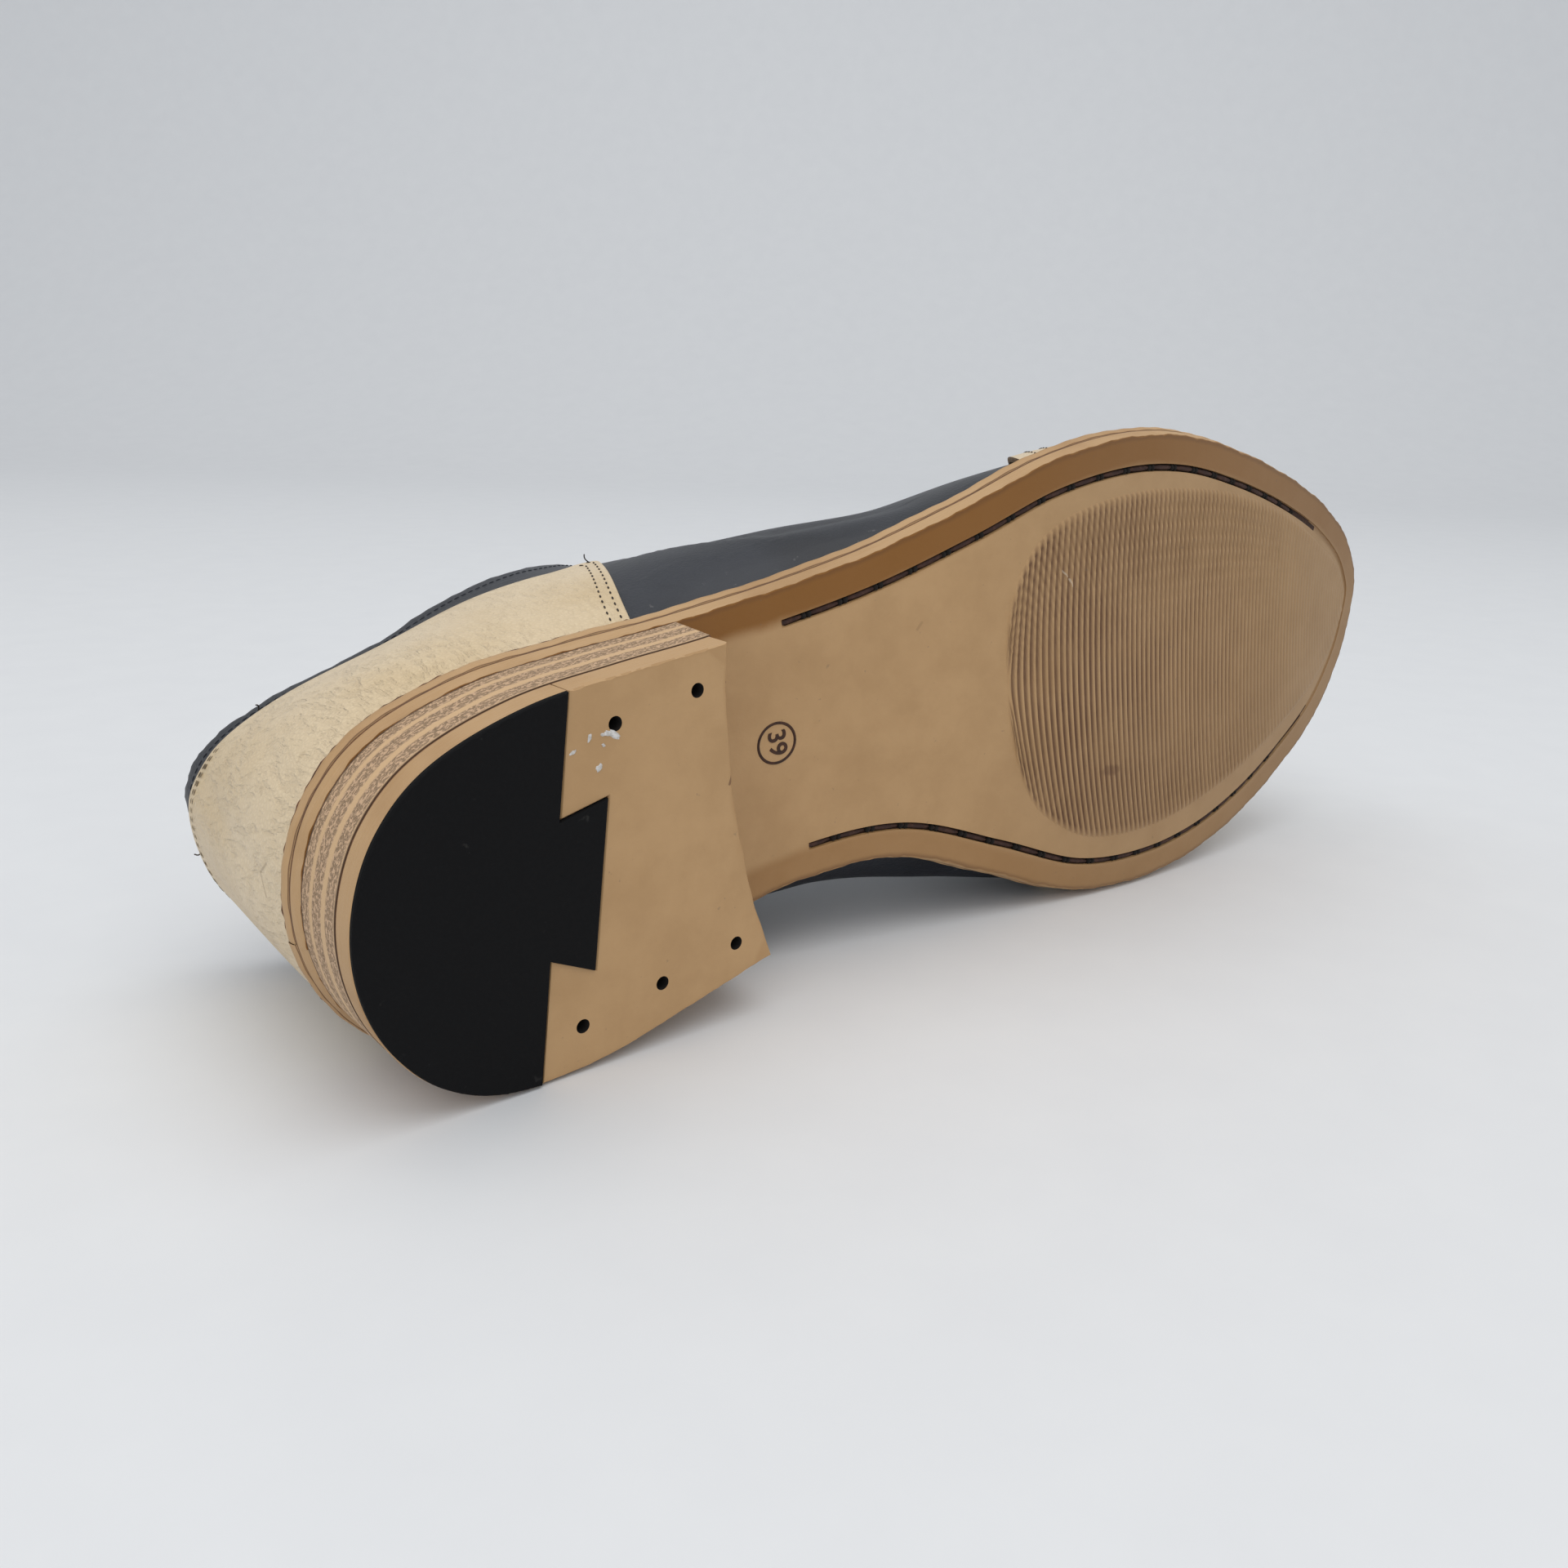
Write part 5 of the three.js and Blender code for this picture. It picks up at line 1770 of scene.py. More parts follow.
@dataclass
class Heel:
    """Stack, top lift and rubber piece."""

    wardrobe: Wardrobe
    breast: float = 69.5
    hollow: float = 3
    lean: float = 0.097
    lift: float = 5.4
    spread: float = 0.1
    proud: float = 0.5
    rubber_front: float = 31.4
    rubber_skew: float = 0.295
    rubber_sheet: float = 0.9
    lift_inset: float = 6.6
    corner_angle: float = 35
    hole_inset: float = 8.0
    dovetail: tuple[float, float, float, float] = (7.9, 26.6, 21, -1.2)
    nail: float = 2.4
    nail_depth: float = 3
    nail_places: tuple[tuple[float, float], ...] = (
        (47.2, -22.9),
        (62.6, -22.9),
        (31.8, 22.9),
        (47.2, 22.9),
        (62.6, 22.9),
    )

    def build(self) -> None:
        """Makes the heel's pieces."""
        self._stack()
        self._cement_lines()
        self._top_lift()
        self._rubber()
        self._paint_specks()

    def _outline(self, offset: float, breast: float) -> Array:
        """Plan outline of a heel layer, closed in front by the hollow breast."""
        rows = np.linspace(0, LAST_ROW / 2, 4000)
        ends = []
        for side in (-1, 1):
            x = LAST.offset(side * rows, offset)[:, 0]
            ends.append(side * float(np.interp(breast, x, rows)))
        ring = np.linspace(ends[1], ends[0], 240)
        round_part = LAST.offset(ring, offset)
        t = np.linspace(0, 1, 34)[1:-1, None]
        front = round_part[-1] + (round_part[0] - round_part[-1]) * t
        front[:, 0] -= self.hollow * 4 * t[:, 0] * (1 - t[:, 0])
        front[:, 0] += ripple(front[:, 1], ((19, 0.1), (7, 0.06)), 31)
        return np.concatenate([round_part, front])[::-1]

    def _walls(
        self, name: str, layers: Sequence[tuple[Array, Array, float]]
    ) -> bpy.types.Object:
        """A closed block between stacked outlines.

        Args:
            name: Name of the object.
            layers: Outline, heights and map height of each layer, upwards.

        Returns:
            The block.
        """
        count = len(layers[0][0])
        first = layers[0][0]
        steps = np.linalg.norm(np.diff(np.vstack([first, first[:1]]), axis=0), axis=1)
        run = np.concatenate([[0], np.cumsum(steps)])
        points, uv = [], []
        for plan, height, mark in layers:
            closed = np.vstack([plan, plan[:1]])
            points.append(np.column_stack([closed, np.append(height, height[0])]))
            uv.append(np.column_stack([run, np.full(count + 1, mark)]))
        grid = np.stack(points)
        rows, columns = grid.shape[:2]
        faces: list[Sequence[int]] = list(grid_faces(rows, columns))
        faces.append(tuple(range(count)))
        faces.append(tuple((rows - 1) * columns + k for k in reversed(range(count))))
        obj = make_object(name, grid, faces, np.stack(uv), sharp=self.corner_angle)
        return face_outwards(obj)

    def _stack(self) -> None:
        """The layered block between the top lift and the sole."""
        low = self.lift + LAST.gap
        layers = []
        total = LAST.heel_rise - LAST.gap - low
        for t in np.linspace(0, 1, 13):
            level = low + total * t
            plan = self._outline(self.spread * (1 - t), self.breast + self.lean * level)
            ceiling = LAST.ground(plan[:, 0]) - LAST.gap
            layers.append((plan, low + (ceiling - low) * t, total * t))
        obj = self._walls("heel_layers", layers)
        self.wardrobe.dress(obj, "stack_leather")
        ride(obj, "stack_leather", "heel_stack")

    def _cement_lines(self) -> None:
        """Dark joints over and under the layered block."""
        for name, offset, low in (("cement_low", -0.05, self.lift), ("cement_high", -0.15, None)):
            plan = self._outline(offset, self.breast + 0.6)
            if low is None:
                base = LAST.ground(plan[:, 0]) - LAST.gap
            else:
                base = np.full(len(plan), low)
            layers = [(plan, base + LAST.gap * t, 0.0) for t in (0.02, 0.98)]
            obj = self._walls(name, layers)
            self.wardrobe.dress(obj, "bond_line")
            ride(obj, "stack_leather")

    def _front(self, y: Array, grow: float) -> Array:
        """Front edge of the rubber piece, apart from its dovetail."""
        return self.rubber_front - self.rubber_skew * y + grow

    def _joint(self, grow: float) -> Array:
        """The dovetailed edge from the outer side to the inner, between the two borders."""
        length, tip, neck, off_centre = self.dovetail
        corners = []
        for half, forward, side in ((neck, 0, -1), (tip, 1, -1), (tip, 1, 1), (neck, 0, 1)):
            y = off_centre + side * (half / 2 + grow)
            corner = np.array([self._front(y, grow), y])
            if forward:
                corner = corner + np.array([length, self.rubber_skew * length])
            corners.append(corner)
        return np.array(corners)

    def _split(self, outline: Array, grow: float, rubber: bool) -> Array:
        """One side of a lift's outline, cut along the dovetailed joint."""
        beyond = outline[:, 0] - self._front(outline[:, 1], grow)
        keep = beyond < 0 if rubber else beyond > 0
        start = int(np.flatnonzero(keep & ~np.roll(keep, 1))[0])
        rolled = np.roll(outline, -start, axis=0)
        kept = np.roll(keep, -start)
        count = int(np.argmin(kept)) if not kept.all() else len(kept)
        arc = rolled[:count]
        joint = self._joint(grow)
        ends = [self._edge_point(rolled[-1], rolled[0], grow)]
        ends.append(self._edge_point(rolled[count - 1], rolled[count % len(rolled)], grow))
        if np.linalg.norm(ends[1] - joint[0]) > np.linalg.norm(ends[1] - joint[-1]):
            joint = joint[::-1]
        return np.vstack([ends[:1], arc, ends[1:], joint])

    def _edge_point(self, a: Array, b: Array, grow: float) -> Array:
        """Where the front edge crosses the outline between two of its points."""
        fa = a[0] - self._front(a[1], grow)
        fb = b[0] - self._front(b[1], grow)
        return a + (b - a) * (fa / (fa - fb))

    def _plate(
        self,
        name: str,
        plan: Array,
        holes: Sequence[Array],
        profile: Sequence[tuple[float, float]],
        rough: Array,
    ) -> bpy.types.Object:
        """A flat piece with walls and holes.

        Args:
            name: Name of the object.
            plan: Outline.
            holes: Outline of each hole.
            profile: Inset and height of each ring of the outer wall, upwards.
            rough: Extra inset of each point at the lowest ring.

        Returns:
            The piece.
        """
        ahead = np.roll(plan, -1, axis=0) - np.roll(plan, 1, axis=0)
        inward = np.stack([-ahead[:, 1], ahead[:, 0]], -1)
        inward /= np.linalg.norm(inward, axis=1, keepdims=True)
        area = np.sum(plan[:, 0] * np.roll(plan[:, 1], -1) - plan[:, 1] * np.roll(plan[:, 0], -1))
        if area < 0:
            inward = -inward
        steps = np.linalg.norm(np.roll(plan, -1, axis=0) - plan, axis=1)
        run = np.concatenate([[0], np.cumsum(steps)[:-1]])
        points: list[Array] = []
        uv: list[Array] = []
        faces: list[Sequence[int]] = []
        loops = []
        for index, (inset, height) in enumerate(profile):
            extra = rough if index == 0 else 0
            ring = plan + inward * (inset + extra * np.ones(len(plan)))[:, None]
            loops.append((sum(len(p) for p in points), ring))
            points.append(np.column_stack([ring, np.full(len(plan), height)]))
            uv.append(np.column_stack([run, np.full(len(plan), profile[-1][1] - height)]))
        count = len(plan)
        for (a, _), (b, _) in zip(loops, loops[1:]):
            for k in range(count):
                after = (k + 1) % count
                faces.append((a + k, a + after, b + after, b + k))
        bottom = profile[0][1]
        floor_level = bottom + self.nail_depth
        hole_loops = []
        for hole in holes:
            mouth = sum(len(p) for p in points)
            points.append(np.column_stack([hole, np.full(len(hole), bottom)]))
            uv.append(np.column_stack([hole[:, 0], np.full(len(hole), self.hole_inset)]))
            floor = sum(len(p) for p in points)
            points.append(np.column_stack([hole, np.full(len(hole), floor_level)]))
            uv.append(np.column_stack([hole[:, 0], np.full(len(hole), self.hole_inset)]))
            size = len(hole)
            for k in range(size):
                after = (k + 1) % size
                faces.append((mouth + k, floor + k, floor + after, mouth + after))
            faces.append(tuple(floor + k for k in range(size)))
            hole_loops.append((mouth, hole))
        faces += self._cap((loops[0][0], plan), hole_loops)
        faces += self._cap((loops[-1][0], plan), [])
        obj = make_object(name, np.vstack(points), faces, np.vstack(uv), sharp=30)
        return face_outwards(obj)

    def _cap(
        self, outer: tuple[int, Array], holes: Sequence[tuple[int, Array]]
    ) -> list[Sequence[int]]:
        """Triangles between an outline and its holes, by point numbers."""
        numbers: list[int] = []
        flat: list[Vector] = []
        edges = []
        for first, ring in [outer, *holes]:
            base = len(flat)
            flat += [Vector(p) for p in ring]
            numbers += [first + k for k in range(len(ring))]
            edges += [(base + k, base + (k + 1) % len(ring)) for k in range(len(ring))]
        boundary = list(range(len(outer[1])))
        result = delaunay_2d_cdt(flat, edges, [boundary], 1, 1e-6)
        spots, triangles, originals = result[0], result[2], result[3]
        faces = []
        for triangle in triangles:
            centre = sum((spots[k] for k in triangle), Vector((0, 0))) / 3
            if any(self._within(centre, ring) for _, ring in holes):
                continue
            faces.append(tuple(numbers[originals[k][0]] for k in triangle))
        return faces

    def _within(self, spot: Vector, ring: Array) -> bool:
        """Whether a point is inside a round hole."""
        centre = ring.mean(axis=0)
        radius = float(np.linalg.norm(ring[0] - centre))
        return (spot - Vector(centre)).length < radius * 0.98

    def _top_lift(self) -> None:
        """The leather part of the top lift, with its nail holes."""
        outline = self._outline(self.spread / 2, self.breast)
        plan = self._split(outline, LAST.gap, rubber=False)
        angles = np.linspace(0, 2 * math.pi, 25)[:-1]
        circle = np.column_stack([np.cos(angles), np.sin(angles)]) * self.nail / 2
        holes = [np.array(place) + circle for place in self.nail_places]
        run = np.cumsum(np.linalg.norm(np.roll(plan, -1, axis=0) - plan, axis=1))
        rough = np.abs(ripple(run, ((9, 0.12), (4.1, 0.1), (2.2, 0.05)), 41))
        profile = [(0.12, self.proud), (0.0, self.proud + 0.25), (-0.02, 3.0), (0.0, self.lift)]
        obj = self._plate("top_lift_leather", plan, holes, profile, rough)
        self.wardrobe.dress(obj, "sole_leather", "sole_edge", "painted_hole_shade")
        self._paint_sides(obj)
        ride(obj, "sole_leather", "top_lift")

    def _paint_sides(self, obj: bpy.types.Object) -> None:
        """Edge finish on upright faces and black painted shade inside the nail holes."""
        places = np.array(self.nail_places)
        for face in obj.data.polygons:
            spot = LAID.to_standing(face.center)
            normal = LAID.standing_direction(face.normal)
            near = np.min(np.linalg.norm(places - spot[:2], axis=1))
            if near < self.nail / 2 + 0.02 and spot[2] > self.proud + 0.2:
                face.material_index = 2
            elif abs(normal[2]) < UPRIGHT:
                face.material_index = 1
        layer = obj.data.uv_layers["place"]
        outline = self._outline(0, self.breast)
        for face in obj.data.polygons:
            if face.material_index:
                continue
            for k in face.loop_indices:
                vertex = obj.data.vertices[obj.data.loops[k].vertex_index]
                spot = LAID.to_standing(vertex.co)
                inset = float(np.min(np.linalg.norm(outline - spot[:2], axis=1)))
                layer.data[k].uv = (spot[0], inset + self.lift_inset)

    def _rubber(self) -> None:
        """The black rubber piece, a little proud, with a fine saw-cut edge."""
        outline = self._outline(self.spread / 2, self.breast)
        plan = self._split(outline, 0, rubber=True)
        run = np.cumsum(np.linalg.norm(np.roll(plan, -1, axis=0) - plan, axis=1))
        teeth = 0.12 + ripple(run, ((1.15, 0.1), (2.7, 0.08)), 51)
        profile = [(0.1, 0.0), (0.0, 0.25), (0.0, self.rubber_sheet), (-0.15, 1.1), (0.0, self.lift)]
        obj = self._plate("rubber_piece", plan, [], profile, teeth)
        self.wardrobe.dress(obj, "heel_rubber", "sole_edge")
        for face in obj.data.polygons:
            spot = LAID.to_standing(face.center)
            normal = LAID.standing_direction(face.normal)
            if spot[2] > self.rubber_sheet and abs(normal[2]) < 0.9:
                face.material_index = 1
        ride(obj, "heel_rubber", "heel_rubber")

    def _paint_specks(self) -> None:
        """Dried paint by the outer nail hole."""
        specks = [
            (46.6, -21.4, 1.5, 0.6),
            (45.3, -21.9, 0.9, 0.4),
            (42.5, -22.4, 0.8, 0.4),
            (39.4, -21.2, 0.7, 0.3),
            (43.2, -17.2, 0.8, 0.6),
            (44.6, -20.4, 0.4, 0.3),
        ]
        rng = np.random.default_rng(61)
        points, faces = [], []
        for x, y, length, width in specks:
            base = len(points)
            sides = 14
            wobble = rng.uniform(0.6, 1.15, sides)
            turn = rng.uniform(0, math.pi)
            for ring, (size, height) in enumerate(((1.0, 0.0), (0.75, 0.16), (0.35, 0.24))):
                for k in range(sides):
                    angle = 2 * math.pi * k / sides
                    dx = math.cos(angle) * length * wobble[k] * size
                    dy = math.sin(angle) * width * wobble[k] * size
                    px = x + dx * math.cos(turn) - dy * math.sin(turn)
                    py = y + dx * math.sin(turn) + dy * math.cos(turn)
                    points.append((px, py, self.proud + 0.02 - height))
                if ring:
                    for k in range(sides):
                        after = (k + 1) % sides
                        a, b = base + (ring - 1) * sides, base + ring * sides
                        faces.append((a + k, a + after, b + after, b + k))
            faces.append(tuple(base + 2 * sides + k for k in range(sides)))
            faces.append(tuple(base + k for k in reversed(range(sides))))
        obj = make_object("paint_specks", np.array(points), faces)
        self.wardrobe.cover(obj, "paint_specks", "sole_leather")


@dataclass
class Upper:
    """Quarters and vamp with the counter and the toe cap over them."""

    wardrobe: Wardrobe
    ring_step: float = 0.1
    share_steps: int = 40
    overlay_gap: float = 0.35
    overlay: float = 1.1
    collar_fade: tuple[float, float] = (7.6, 8.2)
    counter_back: float = 0.9
    counter_side: float = 0.69
    counter_front: float = 5.8
    counter_lean: float = 0.75
    counter_corner: float = 0.16
    counter_cut: float = 0.35
    loose_ends: tuple[tuple[float, float, float, float], ...] = (
        (6.5, 0.71, 1.3, 0.5),
        (2.71, 0.88, 1.0, -0.4),
        (-0.28, 0.91, 1.0, 0.4),
    )
    cap_side: float = 10
    cap_top: float = 13.3
    cap_sweep: float = 1.6
    cap_calm: float = 0.88
    creases: list[Crease] = field(
        default_factory=lambda: [
            Crease((6.88, 0.571), (7.81, 0.227), 2.0, 0.9),
            Crease((7.85, 0.225), (9.04, 0.193), 2.2, 0.5),
            Crease((7.0, 0.46), (7.95, 0.12), 3.2, -0.4),
            Crease((6.9, 0.78), (8.4, 0.9), 2.2, 0.5),
            Crease((7.6, 0.86), (9.2, 0.72), 3.0, 0.5),
            Crease((11.2, 0.45), (12.6, 0.9), 2.4, 0.45),
            Crease((24.8, 0.45), (23.4, 0.9), 2.4, 0.45),
            Crease((29.4, 0.3), (28.0, 0.55), 3.5, 0.6),
            Crease((28.4, 0.2), (27.2, 0.45), 3.0, 0.4),
        ]
    )
    counter_folds: list[Crease] = field(
        default_factory=lambda: [
            Crease((0.6, 0.1), (1.4, 0.8), 3.0, 0.7),
            Crease((-0.7, 0.15), (-0.4, 0.75), 3.2, 0.75),
            Crease((1.9, 0.05), (2.3, 0.45), 2.4, 0.5),
            Crease((-1.8, 0.1), (-2.0, 0.6), 3.0, 0.6),
            Crease((-0.3, 0.2), (1.2, 0.24), 1.2, 0.35),
        ]
    )

    def build(self) -> None:
        """Makes the three leathers and their seams."""
        self._quarters()
        self._counter()
        self._cap()
        self._seams()
        self._loose_ends()

    def _loose_ends(self) -> None:
        """Ends of thread that stand out of the seams at the counter."""
        t = np.linspace(0, 1, 40)[:, None]
        paths = []
        for ring, share, length, bend in self.loose_ends:
            place = (np.array([ring]), np.array([share]))
            root, normal = LAST.point(*place)[0], LAST.normal(*place)[0]
            aside = np.cross(normal, (0, 0, 1))
            curl = aside * np.sin(t * 2.6) * bend + np.array([0, 0, 1]) * t**2 * bend
            paths.append(root + normal * (0.9 + length * t) + curl)
        self.wardrobe.sew_on("loose_threads", Stitching(0.2, 0.45, 0.26), paths, "dark_thread")

    def _folded(self, points: Array, normals: Array, folds: Sequence[Crease]) -> Array:
        """Points with the folds pressed in."""
        sunk = sum((fold.sink(points) for fold in folds), np.zeros(points.shape[:-1]))
        return points - normals * sunk[..., None]

    def _map(self, points: Array) -> Array:
        """Millimetres round the shoe and up its side at each point of a grid."""
        middle = points[:, points.shape[1] // 3]
        steps = np.linalg.norm(np.diff(middle, axis=0), axis=1)
        around = np.concatenate([[0], np.cumsum(steps)])
        rises = np.linalg.norm(np.diff(points, axis=1), axis=2)
        up = np.concatenate([np.zeros((len(points), 1)), np.cumsum(rises, axis=1)], axis=1)
        return np.stack([np.broadcast_to(around[:, None], up.shape), up], -1)

    def _quarters(self) -> None:
        """The dark shell, open at the collar, the throat and underneath."""
        ring = np.linspace(0, RING_ROWS, int(RING_ROWS / self.ring_step) + 1)
        shares = np.linspace(0, 1, self.share_steps + 1)
        tops = LAST.top_share(ring)
        share = shares[None] * tops[:, None]
        places = np.broadcast_to(ring[:, None], share.shape)
        points = LAST.point(places, share)
        normals = LAST.normal(places, share)
        row = ring_row(ring)
        open_part = 1 - smoothstep(*self.collar_fade, row)
        station_length = 1.7
        run = np.arange(len(ring)) * station_length
        ragged = ripple(run, ((13, 0.25), (4.3, 0.18), (2.1, 0.1)), 71) * open_part
        lift = smoothstep(0.93, 1.0, shares)[None] * ragged[:, None]
        points = points + np.array([0, 0, 1.0]) * lift[..., None]
        points = self._folded(points, normals, self.creases)
        obj = make_grid("quarters_and_vamp", points, self._map(points), 60)
        self.wardrobe.dress(obj, "navy_leather", "lining_leather", "raw_edge")
        thickened(obj, LAST.wall, 0.4, inner=1, rim=2)
        ride(obj, "navy_leather", "upper")

    def _counter_top(self, row: Array) -> Array:
        """Upper edge of the counter, as a share, at rows from the heel."""
        behind = np.clip(1 - row / self.counter_front, 0, 1)
        return self.counter_side + (self.counter_back - self.counter_side) * behind**0.8

    def _counter_end(self, high: Array) -> Array:
        """Front edge of the counter, in rows, at shares of its height."""
        corner = np.clip((high - (1 - self.counter_corner)) / self.counter_corner, 0, 1)
        return self.counter_front + self.counter_lean * high - self.counter_cut * corner**2

    def _counter_place(self, across: Array, high: Array) -> tuple[Array, Array]:
        """Ring place and share on the counter, from -1 to 1 across it and 0 to 1 up it."""
        ring = across * self._counter_end(high)
        return ring, high * self._counter_top(np.abs(ring))

    def _counter(self) -> None:
        """The pale leather round the heel."""
        across = np.linspace(-1, 1, 281)[:, None]
        high = np.linspace(0, 1, 31)[None]
        ring, share = self._counter_place(*np.broadcast_arrays(across, high))
        normals = LAST.normal(ring, share)
        points = LAST.point(ring, share) + normals * (self.overlay_gap + self.overlay)
        points = self._folded(points, normals, self.counter_folds)
        obj = make_grid("counter_leather", points, self._map(points), 60)
        self.wardrobe.dress(obj, "cream_leather", "cut_cream", "cut_cream")
        thickened(obj, self.overlay, 0.35, inner=1, rim=1)
        ride(obj, "cream_leather", "heel_counter")

    def _cap_rear(self, share: Array) -> Array:
        """Rear edge of the cap, in rows, at shares of the height."""
        sweep_up = np.sin(share * math.pi / 2) ** self.cap_sweep
        return self.cap_side + (self.cap_top - self.cap_side) * sweep_up

    def _cap(self) -> None:
        """The pale leather over the toe."""
        across = np.linspace(0, 1, 301)[:, None]
        share = np.broadcast_to(np.linspace(0, 1, 33)[None], (301, 33))
        rear = self._cap_rear(share)
        ring = rear + (RING_ROWS - 2 * rear) * across
        calm = self.cap_calm
        normals = LAST.normal(ring, np.minimum(share, calm))
        ridge = (normals[:, -1] + normals[::-1, -1])[:, None]
        near_ridge = np.clip((share - calm) / (1 - calm), 0, 1)[..., None]
        normals = normals * (1 - near_ridge) + ridge * near_ridge
        normals /= np.linalg.norm(normals, axis=-1, keepdims=True)
        points = LAST.point(ring, share) + normals * (self.overlay_gap + self.overlay)
        points[:, -1] = (points[:, -1] + points[::-1, -1]) / 2
        obj = make_grid("toe_cap_leather", points, self._map(points), 60)
        self.wardrobe.dress(obj, "cream_leather", "cut_cream", "cut_cream")
        thickened(obj, self.overlay, 0.35, inner=1, rim=1)
        ride(obj, "cream_leather", "toe_cap")

    def _seams(self) -> None:
        """Rows of thread on the counter, the cap and the collar."""
        lift = self.overlay_gap + self.overlay + 0.03
        paths = []
        heights = np.linspace(0.06, 0.9, 60)
        for side in (-1, 1):
            for setback in (0.085, 0.2):
                ring, share = self._counter_place(np.full(60, side * 1.0), heights)
                paths.append(surface_path(ring - side * setback, share, lift))
        shares = np.linspace(0.07, 0.97, 120)
        for setback in (0.22, 0.42):
            rear = self._cap_rear(shares) + setback
            paths.append(surface_path(rear, shares, lift))
            paths.append(surface_path(RING_ROWS - rear, shares, lift))
        self.wardrobe.sew_on("pale_seams", Stitching(2.2, 1.1, 0.36), paths, "dark_thread")
        across = np.linspace(-0.3, 0.3, 300)
        backs = []
        for below in (0.965, 0.945):
            ring, share = self._counter_place(across, np.full(300, below))
            backs.append(surface_path(ring, share, lift - 0.08))
        self.wardrobe.sew_on("back_seams", Stitching(1.7, 1.2, 0.28), backs, "back_thread")
        rows = np.linspace(-7.2, 7.2, 400)
        collar = surface_path(rows, LAST.top_share(rows) - 0.05, 0.02)
        self.wardrobe.sew_on("collar_seam", Stitching(1.6, 1.15, 0.28), [collar], "navy_thread")


